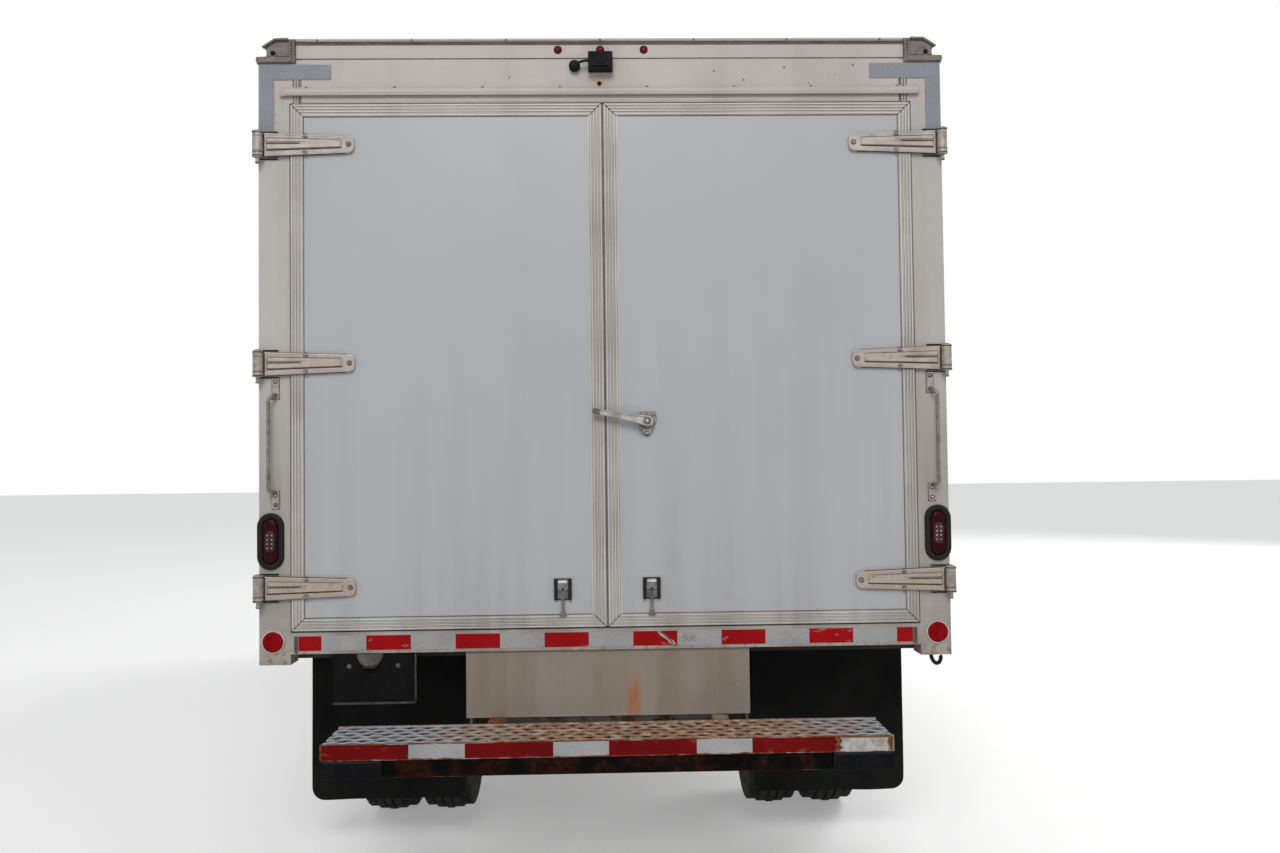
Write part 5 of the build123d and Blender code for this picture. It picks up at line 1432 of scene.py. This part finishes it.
front_x, rear_x = 832, 825
for name, side in sides:
    tyre = Piece(tyre_look)
    tyre.loft(tyre_loops(side * front_x, front_axle_y), caps=(False, False))
    tyre.done(f"treaded_tyre_front_{name}", f"front_wheel_{name}", "tyre", [f"tyre_front_{name}"], angle=32)
    trim = Piece(wheel_paint, front_axle_y, side=side)
    wheel_nuts(trim, front_x + 125, 80, 6, 21, 0.26)
    hub_cap = [(-1, 62), (0, 62), (9, 58), (14, 44), (14, 20)]
    trim.lathe((front_x + 178, 0, wheel_z), ASIDE, hub_cap, alloy, 36)
    wheel_nuts(trim, front_x + 186, 51, 6, 9, 0)
    for radius in (200, 221):
        ridge = [(0, radius - 2), (2.4, radius), (2.4, radius + 1), (0, radius + 1.6)]
        trim.lathe((front_x + 88, 0, wheel_z), ASIDE, ridge, wheel_paint, 60, (False, False))
    valve(trim, front_x + 60, 62, 1.1)
    trim.done(f"wheel_trim_front_{name}", f"front_wheel_{name}", "wheel_paint")

    twins = Piece(tyre_look)
    for out in (-1, 1):
        twins.loft(tyre_loops(side * rear_x + out * 125, rear_axle_y), caps=(False, False))
    twins.done(f"treaded_tyres_rear_{name}", f"rear_wheels_{name}", "tyre", [f"tyres_rear_{name}"], angle=32)
    trim = Piece(wheel_paint, rear_axle_y, side=side)
    wheel_nuts(trim, rear_x + 10, 100, 6, 21, 0.26)
    hub_cap = [(-1, 80), (0, 80), (5, 78), (7, 66), (7, 20)]
    trim.lathe((rear_x + 118, 0, wheel_z), ASIDE, hub_cap, cast_iron, 36)
    wheel_nuts(trim, rear_x + 123, 64, 8, 13, 0)
    valve(trim, rear_x + 70, 120, 0.9)
    trim.done(f"wheel_trim_rear_{name}", f"rear_wheels_{name}", "wheel_paint")


# Under the body

under = Piece(cast_iron)
for side in under.both():
    for x, y, top, bottom, half in ((390, front_axle_y, 470, 330, 44), (470, rear_axle_y, 540, 315, 52)):
        corners = [(-half, bottom), (-half, top - 12), (12 - half, top)]
        corners += [(half - 12, top), (half, top - 12), (half, bottom)]
        for offset in (-42, 42):
            under.tube([(x + across, y + offset, z) for across, z in corners], 8, cast_iron, 10, 0)
            for across in (-half, half):
                under.bolt((x + across, y + offset, bottom + 14), DOWN, 22, bolt_steel)
        under.box((x - half - 14, x + half + 14), (y - 60, y + 60), (bottom + 14, bottom + 26), cast_iron, 2)
    for y, lean in ((front_axle_y + 90, 60), (rear_axle_y + 130, 90)):
        low_end, high_end = Vector((395, y, 420)), Vector((395, y + lean, 700))
        under.rod(low_end, high_end, 16, bright_steel, 16, 1)
        under.rod(low_end, low_end.lerp(high_end, 0.42), 27, cast_iron, 20, 3)
under.done("spring_bolts_and_dampers", "chassis", "chassis_black")

frame_bolts = Piece(chassis_black)
for side in frame_bolts.both():
    for y in (-2671, -1301, -400, 500, 2720):
        for z in (700, 760):
            for offset in (12, 48):
                frame_bolts.bolt((425, y + offset, z), ASIDE, 16, bolt_steel)
    for y in rows(-2500, 1300, 760):
        frame_bolts.box((366, 432), (y - 30, y + 30), (792, 800), cast_iron, 1.5)
        frame_bolts.tube([(430, y, 585), (430, y, 838)], 7, cast_iron, 10, 0)
    cable = [(410, -2600, 628), (410, -900, 632), (408, 700, 628), (408, 2600, 630)]
    frame_bolts.tube(cable, 7, rubber, 8, 6)
    pipe = [(400, -2500, 770), (402, -300, 772), (400, 2500, 768)]
    frame_bolts.tube(pipe, 4, bright_steel, 8, 6)
frame_bolts.done("frame_bolts_and_lines", "chassis", "chassis_black")

tank = Piece(alloy)
for y in (280, 820):
    for x, z in (((-905, -450), (698, 704)), ((-905, -450), (396, 402)), ((-906, -899), (400, 700))):
        tank.box(x, (y - 25, y + 25), z, galvanised, 2)
    tank.bolt((-906, y, 560), (-1, 0, 0), 16, bolt_steel)
tank.lathe((-830, 550, 690), UP, [(0, 46), (14, 46), (18, 42)], alloy, 32)
tank.lathe((-830, 550, 706), UP, [(0, 52), (16, 52), (22, 47), (22, 10)], black_plastic, 12)
for y in (98, 1002):
    tank.box((-880, -470), (y - 4, y + 4), (430, 670), alloy)
tank.box((-900, -560), (300, 780), (694, 702), galvanised, 2)
for y in range(330, 727, 66):
    tank.box((-890, -570), (y, y + 16), (700, 706), galvanised, 2)
tank.done("tank_fittings", "chassis", "aluminium")

battery = Piece(black_plastic)
battery.box((-858, -446), (1052, 1408), (700, 728), edge=8, segments=3)
for y in range(1100, 1333, 58):
    battery.box((-853, -848), (y, y + 20), (480, 680), black_plastic, 2)
for y in (1120, 1340):
    battery.box((-862, -850), (y - 14, y + 14), (560, 735), rubber, 2)
    battery.box((-866, -858), (y - 18, y + 18), (600, 640), bolt_steel, 2)
battery.done("battery_lid", "chassis", "plastic_black")

silencer = Piece(cast_iron)
for y, length, inner, outer, material, count in (
    (299, 12, 108, 113, cast_iron, 40), (889, 12, 108, 113, cast_iron, 40), (420, 360, 110, 113, alloy, 40),
    (330, 28, 32, 37, bolt_steel, 24), (940, 28, 32, 37, bolt_steel, 24), (120, 28, 32, 37, bolt_steel, 24),
):
    band = [(0, inner), (0, outer), (length, outer), (length, inner)]
    silencer.lathe((600, y, 480), OUT, band, material, count, (False, False))
tail_end = [(-6, 26), (-6, 33.5), (5, 34.5), (6, 31), (6, 26), (-60, 26)]
silencer.lathe((1090, -170, 480), (0.88, -0.47, 0), tail_end, cast_iron, 28, (False, False))
silencer.done("exhaust_fittings", "chassis", "chassis_black")


# Cab outside

roof_edge = Vector((0, 2900, cab_roof))
belt_edge = Vector((0, 3150, 1400))
screen_up = (roof_edge - belt_edge).normalized()
screen_out = screen_up.cross(Vector(ASIDE))
screen_mid = (roof_edge + belt_edge) / 2


def on_screen(u, v, w):
    """A point by its distance across, up and out of the windscreen's plane."""
    return screen_mid + Vector((u, 0, 0)) + screen_up * v + screen_out * w


def on_back(u, v, w):
    """The same on the rear window, out towards the rear."""
    return Vector((u, cab_back - w, 1760 + v))


def window_frame(piece, place, width, height, corner):
    """A rubber frame round a window of that size."""
    loops = []
    for outset, out in ((-14, -24), (-14, -8), (-8, 2), (6, 5), (14, 3), (15, -1), (-14, -24)):
        radius = corner + outset
        half_u, half_v = width / 2 + outset - radius, height / 2 + outset - radius
        loop = []
        for quarter, (su, sv) in enumerate(((1, 1), (-1, 1), (-1, -1), (1, -1))):
            for k in range(7):
                angle = math.pi / 2 * (quarter + k / 6)
                u, v = su * half_u + radius * math.cos(angle), sv * half_v + radius * math.sin(angle)
                loop.append(place(u, v, out))
        loops.append(loop)
    piece.loft(loops, rubber, (False, False))


frames = Piece(rubber)
window_frame(frames, on_screen, 1740, 690, 70)
window_frame(frames, on_back, 1100, 460, 60)
frames.done("window_rubbers", "cab", "rubber")

wipers = Piece(black_plastic)
for u in (-620, 120):
    wipers.lathe(on_screen(u, -372, -2), screen_out, [(0, 20), (14, 18), (26, 14), (28, 6)])
    arm = [on_screen(u, -372, 20), on_screen(u + 120, -350, 28), on_screen(u + 300, -301, 4)]
    wipers.tube(arm, 5, black_plastic, 8, 5)
    for w, radius, material in ((-10, 3.5, rubber), (-3, 4.5, black_plastic)):
        blade = [on_screen(u + 30 + 68 * k, -318 + 4 * k, w) for k in range(9)]
        wipers.tube(blade, radius, material, 8, 0)
wipers.done("wipers", "cab", "plastic_black")

front = Piece(black_plastic, cab_front)
for z, height in ((781, 18), (827, 22), (877, 22), (927, 22), (977, 22)):
    front.box((-532, 532), (-4, 9), (z, z + height), black_plastic, 5, 3)
for side in front.both():
    front.box((522, 546), (-4, 9), (781, 999), black_plastic, 5, 3)
for x in range(-500, 501, 50):
    front.box((x - 2, x + 2), (-34, -26), (795, 985), black_plastic, 1)
front.box((-530, 530), (-40, -36), (790, 985), dark_gap, 1)
front.box((-900, 900), (-1, 0.6), (1062, 1066), dark_gap)
front.box((-960, 960), (-1, 4), (1268, 1274), rubber, 1)
for side in front.both():
    for x in (600, 960):
        front.bolt((x, 0, 1010), OUT, 9)
front.done("grille", "cab", "plastic_black")

lamp_units = Piece(window_glass, cab_front)
low, high = 650.4, 929.6
bowl = [(0, 14), (4, 24), (12, 36), (22, 42), (27, 43), (27, 40), (22, 39), (10, 30), (3, 12)]
for side in lamp_units.both():
    lamp_units.box((low, high), (-4, 4), (790.4, 919.6), window_glass, 3)
    lamp_units.box((low + 1, high - 1), (-38, -36), (791, 919), black_plastic, 0.8)
    for z in (791, 917):
        lamp_units.box((low + 1, high - 1), (-37, -5), (z, z + 2), bright_steel, 0.5)
    for x in (712, 800):
        lamp_units.lathe((x, -35, 855), OUT, bowl, bright_steel, 36)
        lamp_units.dome((x, -33, 855), OUT, 9, 12, clear_lens, 16, 4)
    lamp_units.box((862, 926), (-34, -8), (795, 915), amber_lens, 6, 3)
    for z in range(802, 898, 19):
        lamp_units.box((866, 922), (-9, -6), (z, z + 10), amber_lens, 2)
lamp_units.done("headlamp_units", "cab", "lamp_clear", ["headlamps"])

bumper = Piece(chassis_black, bumper_face)
for side in bumper.both():
    bumper.lathe((640, -2, 540), OUT, [(0, 56), (4, 56), (6, 52), (6, 46)], black_plastic, 36)
    bumper.lathe((640, -8, 540), OUT, [(0, 44), (8, 44), (11, 38), (12, 5)], clear_lens, 36)
    bumper.lathe((330, -1, 520), OUT, [(0, 30), (2, 30), (2, 22)], dark_gap)
    for k in range(8):
        bumper.box((800, 985), (40 * k - 583.5, 40 * k - 571.5), (489, 493), galvanised, 1)
    bumper.box((320, 760), (-3, 2), (600, 606), rubber, 1)
bumper.box((-152, 152), (0, 3), (486, 638), chassis_black, 1)
bumper.box((-150, 150), (2, 4.5), (488, 636), white_tape, 1)
for x in (-89, 89):
    for z in (500, 624):
        bumper.bolt((x, 4.5, z), OUT, 8, bolt_steel, washer=False)
bumper.done("front_bumper_fittings", "chassis", "chassis_black")

cab_trim = Piece(black_plastic)
for side in cab_trim.both():
    arch = []
    for k in range(19):
        angle = math.radians(90 - 48.5 * k / 18)
        loop = []
        for out, reach in ((1004, 474), (1004, 496), (1000, 500), (985, 500), (985, 474)):
            y, z = front_axle_y + reach * math.cos(angle), wheel_z + reach * math.sin(angle)
            loop.append(cab_trim.spot(out, y, z))
        arch.append(loop)
    cab_trim.loft(arch)
    cab_trim.box((985, 1004), (cab_back + 6, front_axle_y), (859, 885), edge=4)
    # Splash guard behind the front wheel
    cab_trim.box((700, 985), (cab_back + 8, cab_back + 14), (470, 862), rubber, 2)
    cab_trim.box((690, 990), (cab_back + 4, cab_back + 18), (846, 862), chassis_black, 2)
    cab_trim.lathe((1000, 3060, 1130), ASIDE, [(0, 30), (3, 30), (5, 26)], black_plastic, 28)
    cab_trim.dome((1003, 3060, 1130), ASIDE, 25, 9, amber_lens, 28, 6)
cab_trim.done("cab_trim", "cab", "plastic_black")

roof_lamps = Piece(black_plastic)
for x in (-820, -220, 0, 220, 820):
    for size, height, material in ((1.0, 8, black_plastic), (0.86, 28, amber_lens)):
        loops = []
        for share, shrink in ((0, 1), (0.55, 0.97), (0.85, 0.8), (1, 0.45)):
            reach = size * shrink
            z = cab_roof + height * share
            turns = [2 * math.pi * k / 20 for k in range(20)]
            loops.append([(x + 44 * reach * math.cos(a), 2795 + 24 * reach * math.sin(a), z) for a in turns])
        roof_lamps.loft(loops, material)
roof_lamps.done("cab_roof_lamps", "cab", "lamp_clear")

cab_rear = Piece(cab_paint, cab_back, -1)
for x in range(-840, 841, 210):
    cab_rear.box((x - 26, x + 26), (0, 5), (900, 1440), edge=4, segments=3)
for side in cab_rear.both():
    for z in (1560, 1660, 1760, 1860, 1960):
        cab_rear.box((640, 900), (0, 5), (z, z + 40), edge=4, segments=3)
cab_rear.box((-920, 920), (0, 4), (1470, 1480), rubber, 1)
for side in cab_rear.both():
    handle = [(760, 3, 1150), (760, 40, 1170), (760, 40, 1390), (760, 3, 1410)]
    cab_rear.tube(handle, 9, black_plastic, 10, 5)
cab_rear.done("cab_back_ribs", "cab", "cab_paint")

panes = Piece(mirror_glass)
for side in panes.both():
    for z, height in ((1665, 240), (1545, 100)):
        panes.box((1133, 1277), (3020, 3016), (z, z + height), black_plastic, 3)
        panes.box((1138, 1272), (3017, 3014.5), (z + 5, z + height - 5), mirror_glass, 1)
    for z in (1640, 1560, 1800, 1880):
        panes.box((1150, 1260), (3094, 3097), (z, z + 8), black_plastic, 1.5)
    for z in (1518, 1918):
        panes.lathe((1205, 3050, z), UP, [(0, 14), (3, 16), (21, 16), (24, 14)], black_plastic, 20)
panes.done("mirror_panes", "cab", "plastic_black")

window_outline = ((1870, 1470), (1870, 2080), (2725, 2080), (2860, 1470))
for name, side in sides:
    trim = Piece(rubber, side=side)
    corners = [(997, y, z) for y, z in window_outline]
    for first, last in zip(corners, corners[1:] + corners[:1]):
        trim.tube([first, last], 8, rubber, 8, 0)
    for corner in corners:
        trim.dome(corner, ASIDE, 8, 8, rubber, 10, 3)
    trim.box((cab_half, cab_half + 3.5), (1812, 2938), (1150, 1196), black_plastic, 1.5)
    trim.box((cab_half, cab_half + 2), (1870, 2030), (1290, 1356), black_plastic, 4, 3)
    handle = [(2, 1884, 1336), (22, 1900, 1338), (24, 1960, 1338), (22, 2000, 1338), (2, 2016, 1336)]
    trim.tube([(cab_half + out, y, z) for out, y, z in handle], 8, black_plastic, 10, 5)
    trim.lathe((cab_half + 1, 2005, 1305), ASIDE, [(0, 9), (2.5, 9), (3.5, 7)], bright_steel, 20)
    trim.box((cab_half, cab_half + 2.5), (1812, 2938), (900, 925), black_plastic, 1)
    # Inner panel with an armrest, a pull and a window winder
    trim.box((960, 953), (1835, 2860), (925, 1455), grey_plastic, 5, 3)
    trim.box((954, 910), (2150, 2600), (1225, 1265), grey_plastic, 12, 3)
    trim.box((954, 938), (2080, 2700), (980, 1090), grey_plastic, 8, 3)
    trim.lathe((953, 2520, 1160), INWARD, [(0, 26), (8, 24), (14, 16)], black_plastic)
    trim.tube([(942, 2520, 1160), (938, 2470, 1130), (938, 2430, 1108)], 6, black_plastic, 10)
    pull = [(953, 2240, 1330), (926, 2260, 1330), (926, 2400, 1330), (953, 2420, 1330)]
    trim.tube(pull, 8, black_plastic, 10)
    trim.done(f"cab_door_trim_{name}", f"cab_door_{name}", "plastic_black")


# Cab inside

inside = Piece(grey_plastic)
wheel_x = -480
hood = []
for y, low, high, half in (
    (2892, 1330, 1402, 190), (2900, 1330, 1424, 200), (2960, 1370, 1438, 205),
    (3040, 1380, 1425, 200), (3060, 1384, 1400, 190),
):
    loop = []
    for k in range(11):
        angle = math.pi * k / 10
        z = low + (high - low) * (0.35 + 0.65 * math.sin(angle) ** 0.6)
        loop.append((wheel_x - half * math.cos(angle), y, z))
    hood.append(loop + [(wheel_x + half, y, low), (wheel_x - half, y, low)])
inside.loft(hood)
inside.box((-655, -305), (2889, 2893), (1322, 1408), dark_gap, 2)
for x, radius in ((-580, 38), (wheel_x, 26), (-385, 38)):
    dial = [(0, radius), (4, radius), (5, radius - 3), (3, radius - 4)]
    inside.lathe((x, 2890, 1366), BACK, dial, bright_steel, 32)
    inside.disc((x, 2890, 1366), BACK, radius - 5, 2, black_plastic, 32)
    inside.box((x - 1.2, x + 1.2), (2887, 2885), (1366, 1366 + radius - 9), red_lens, 0.4)
for x in (-860, -230, 230, 860):
    inside.box((x - 62, x + 62), (2891, 2885), (1235, 1300), black_plastic, 5, 3)
    for z in range(1243, 1286, 14):
        inside.box((x - 54, x + 54), (2887, 2880), (z, z + 4), black_plastic, 1)
inside.box((-100, 100), (2891, 2884), (1170, 1225), black_plastic, 4)
for x in (-70, 70):
    inside.lathe((x, 2884, 1197), BACK, [(0, 14), (10, 12), (12, 8)], grey_plastic, 20)
inside.box((-40, 40), (2885, 2881), (1182, 1212), dark_gap, 2)
inside.box((330, 790), (2891, 2887), (1160, 1226), grey_plastic, 4, 3)
inside.box((500, 620), (2888, 2882), (1208, 1218), black_plastic, 2)
# Column shroud, lever stalks and pedals
shroud = []
turns = [2 * math.pi * k / 16 for k in range(16)]
for share, half in ((0.03, 48), (0.1, 56), (0.3, 52), (0.42, 34)):
    x, y, z = Vector((wheel_x, 2680, 1330)).lerp(Vector((wheel_x, 2998, 948)), share)
    ring = [(half * math.cos(a), half * math.sin(a)) for a in turns]
    shroud.append([(x + across, y + 0.6 * up, z + 0.8 * up) for across, up in ring])
inside.loft(shroud, black_plastic)
for way in (-1, 1):
    stalk = [(40, 2715, 1298), (120, 2712, 1306), (170, 2705, 1316)]
    inside.tube([(wheel_x + way * x, y, z) for x, y, z in stalk], 6, black_plastic, 10)
for x, width in ((-640, 34), (-560, 34), (-350, 26)):
    inside.tube([(x, 3040, 1150), (x, 2985, 1080), (x, 2950, 1010)], 7, cast_iron, 10)
    inside.box((x - width, x + width), (2938, 2950), (985, 1030), rubber, 4)
# Gear lever on the tunnel, parking brake, mats
boot = [(0, 78), (10, 74), (24, 52), (44, 40), (60, 24), (72, 12)]
inside.lathe((-90, 2500, 1130), UP, boot, rubber, 32)
inside.tube([(-90, 2500, 1195), (-92, 2494, 1290), (-110, 2470, 1390)], 8, black_plastic, 12, 5)
knob = [(0, 14), (8, 24), (26, 27), (42, 22), (50, 8)]
inside.lathe((-110, 2470, 1380), (-0.1, -0.15, 1), knob, black_plastic)
inside.tube([(-180, 2390, 1130), (-180, 2330, 1180), (-180, 2210, 1225)], 11, black_plastic, 12, 5)
for low, high in ((-945, -375), (375, 945)):
    inside.box((low, high), (2420, 2985), (900, 908), rubber, 3)
    for y in range(2450, 2899, 56):
        inside.box((low + 30, high - 30), (y, y + 20), (907, 909.5), rubber, 1)
inside.box((-352, 352), (cab_back + 44, 2735), (1130, 1136), rubber, 3)
# Headliner, sun visors, inside mirror and grab handles
inside.box((-930, 930), (cab_back + 290, 2820), (2188, 2194), headliner, 2)
for low, high in ((-820, -180), (180, 820)):
    inside.box((low, high), (2790, 2806), (2066, 2186), headliner, 7, 3)
inside.box((-130, 130), (2800, 2822), (2080, 2140), black_plastic, 8, 3)
inside.box((-120, 120), (2798, 2802), (2086, 2134), bright_steel, 3)
inside.box((-70, 70), (2300, 2400), (2176, 2190), clear_lens, 5, 3)
for side in inside.both():
    handle = [(958, 2992, 1470), (926, 2986, 1492), (926, 2936, 1700), (958, 2930, 1722)]
    inside.tube(handle, 9, black_plastic, 10, 5)
inside.done("cab_furnishings", "cab", "trim_grey")


# Seats


def pad_point(low, high, lean, foot, u, v, lift):
    """A place on a pad: shares across and along it, and a height off its middle layer."""
    turn = math.radians(lean)
    wide, deep = high[0] - low[0], high[1] - low[1]
    # Near a corner the square turns into a quarter circle
    radius = 70
    near_x = max(0.0, 1 - min(u, 1 - u) * wide / radius)
    near_y = max(0.0, 1 - min(v, 1 - v) * deep / radius)
    pull_x = radius * near_x * (1 - math.sqrt(1 - near_y**2 / 2))
    pull_y = radius * near_y * (1 - math.sqrt(1 - near_x**2 / 2))
    pull_x += 7 * math.sin(math.pi * v) * abs(1 - 2 * u)
    pull_y += 7 * math.sin(math.pi * u) * abs(1 - 2 * v)
    x = low[0] + wide * u + math.copysign(pull_x, 0.5 - u)
    along = low[1] + deep * v + math.copysign(pull_y, 0.5 - v)
    off = (low[2] + high[2]) / 2 + lift
    y = foot[0] + along * math.cos(turn) - off * math.sin(turn)
    z = foot[1] + along * math.sin(turn) + off * math.cos(turn)
    return x, y, z


def cushion(piece, low, high, lean, foot, puff, channels):
    """A stuffed pad, laid from a foot (y, z) along a lean in degrees. Its corners are (x, along, off)."""
    wide, deep, thick = (high[k] - low[k] for k in range(3))
    columns, lines = round(wide / 9), 24
    made = []
    for face_way in (1, -1):
        grid = []
        for i in range(columns + 1):
            u = i / columns
            row = []
            for j in range(lines + 1):
                v = j / lines
                rim = min(1.0, min(u, 1 - u) * wide / 55, min(v, 1 - v) * deep / 55)
                swell = math.sqrt(max(0.0, 1 - (1 - rim) ** 2))
                lift = thick / 2 * swell
                if face_way == 1:
                    lift += puff * (math.sin(math.pi * u) * math.sin(math.pi * v)) ** 0.6
                    for channel in channels:
                        lift -= 9 * math.exp(-(((u - channel) * wide / 10) ** 2)) * swell
                    lift -= 6 * math.exp(-(((v - 0.5) * deep / 10) ** 2)) * swell
                spot = pad_point(low, high, lean, foot, u, v, face_way * lift)
                row.append(piece.mesh.verts.new(spot))
            grid.append(row)
            made += row
        for i in range(columns):
            for j in range(lines):
                corners = (grid[i][j], grid[i + 1][j], grid[i + 1][j + 1], grid[i][j + 1])
                piece.mesh.faces.new(corners)
    bmesh.ops.remove_doubles(piece.mesh, verts=made, dist=0.01)
    rim_line = [(k / 24, 0) for k in range(24)] + [(1, k / 24) for k in range(24)]
    rim_line += [(1 - k / 24, 1) for k in range(24)] + [(0, 1 - k / 24) for k in range(25)]
    piping = [pad_point(low, high, lean, foot, u, v, 0) for u, v in rim_line]
    piece.tube(piping, 5.5, seat_piping, 8, 0)


seat_spans = ((-730, -230), (-130, 730))
for number, (low_x, high_x) in enumerate(seat_spans):
    pads = Piece(seat_cloth)
    channels = (0.2, 0.8) if number == 0 else (0.12, 0.38, 0.5, 0.62, 0.88)
    cushion(pads, (low_x + 6, 0, -60), (high_x - 6, 500, 56), 1.5, (1948, 1234), 12, channels)
    cushion(pads, (low_x + 10, 0, -50), (high_x - 10, 560, 46), -81, (1910, 1850), 12, channels)
    replaced = ["seats"] if number == 0 else []
    seat = pads.done(f"seat_cushions_{number + 1}", "cab", "seat_cloth", replaced, angle=60)

seat_frames = Piece(black_plastic)
for low_x, high_x in seat_spans:
    seat_frames.box((low_x + 20, high_x - 20), (1970, 2400), (1168, 1182), cast_iron, 3)
    for x in (low_x - 2, high_x - 34):
        shape = [(1895, 1180), (2000, 1180), (2000, 1290), (1940, 1330), (1890, 1320)]
        seat_frames.side_plate(shape, x, 36)
for x, way in ((-212, 1), (-148, -1), (742, 1)):
    stalk = [(x, 2010, 1180), (x + way * 4, 2030, 1240), (x + way * 6, 2045, 1290)]
    seat_frames.tube(stalk, 7, black_plastic, 8)
    buckle = x + way * 6
    seat_frames.box((buckle - 12, buckle + 12), (2038, 2056), (1285, 1345), black_plastic, 4)
    seat_frames.box((buckle - 8, buckle + 8), (2042, 2054), (1343, 1348), red_lens, 2)
for side in (-1, 1):
    x = side * 905
    belt = []
    for y, z in ((1700, 1960), (1715, 1700), (1735, 1400), (1745, 1180), (1745, 960)):
        belt.append([(x - 23, y, z), (x + 23, y, z), (x + 23, y + 2, z), (x - 23, y + 2, z)])
    seat_frames.loft(belt, belt_web)
    seat_frames.box((x - 34, x + 34), (1690, 1712), (1935, 1985), black_plastic, 6, 3)
    seat_frames.box((x - 40, x + 40), (1700, 1750), (905, 985), black_plastic, 6, 3)
seat_frames.done("seat_frames_and_belts", "cab", "trim_grey")


# Stage and light


def seen_rays(tree):
    """1 for what the camera sees straight, mirrored or through glass."""
    path = tree.nodes.new("ShaderNodeLightPath")
    result = path.outputs["Is Camera Ray"]
    for kind in ("Is Glossy Ray", "Is Transmission Ray"):
        larger = tree.nodes.new("ShaderNodeMath")
        larger.operation = "MAXIMUM"
        tree.links.new(result, larger.inputs[0])
        tree.links.new(path.outputs[kind], larger.inputs[1])
        result = larger.outputs[0]
    return result


# The floor looks as pale as the backdrop, and keeps its shadows
stage_look = Look("stage")
stage_look.close(stage_look.mix(stage_look.noise(0.4), (226, 226, 225), (220, 220, 219)), 0.9)
glow = stage_look.add("Emission")
glow.inputs["Color"].default_value = (1, 1, 1, 1)
stage_look.feed(glow.inputs["Strength"], stage_look.times(seen_rays(stage_look.tree), 0.3))
both = stage_look.add("AddShader")
stage_look.feed(both.inputs[0], stage_look.shader.outputs[0])
stage_look.feed(both.inputs[1], glow.outputs[0])
stage_look.surface(both.outputs[0])
floor = bpy.data.meshes.new("floor")
floor.from_pydata([(-60, -60, 0), (60, -60, 0), (60, 60, 0), (-60, 60, 0)], [], [(0, 1, 2, 3)])
floor.materials.append(stage_look.material)
floor = bpy.data.objects.new("floor", floor)
bpy.context.scene.collection.objects.link(floor)
floor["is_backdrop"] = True

# The sky is white where it is seen, and dimmer where it only lights
world = bpy.data.worlds.new("world")
bpy.context.scene.world = world
world.use_nodes = True
nodes, links = world.node_tree.nodes, world.node_tree.links
seen = nodes["Background"]
light = nodes.new("ShaderNodeBackground")
for background, sky, strength in ((seen, (1, 1, 1, 1), 1.0), (light, (0.97, 0.985, 1, 1), 0.5)):
    background.inputs["Color"].default_value = sky
    background.inputs["Strength"].default_value = strength
choose = nodes.new("ShaderNodeMixShader")
links.new(seen_rays(world.node_tree), choose.inputs[0])
links.new(light.outputs[0], choose.inputs[1])
links.new(seen.outputs[0], choose.inputs[2])
links.new(choose.outputs[0], nodes["World Output"].inputs["Surface"])


def area_light(name, position, target, size, power):
    data = bpy.data.lights.new(name, "AREA")
    data.shape = "DISK"
    data.size = size
    data.energy = power
    lamp = bpy.data.objects.new(name, data)
    bpy.context.scene.collection.objects.link(lamp)
    lamp.location = position
    lamp.rotation_mode = "QUATERNION"
    lamp.rotation_quaternion = (Vector(target) - Vector(position)).to_track_quat("-Z", "Y")


area_light("key", (-0.8, -13, 9.5), (0, -2.5, 1.4), 6, 810)
area_light("fill", (10, 9, 8), (0, 1, 1.4), 7, 1100)

bpy.context.scene.view_settings.view_transform = "Standard"

low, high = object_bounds()
{"cad": [list(cad_low), list(cad_high)], "visual": [list(low), list(high)]}
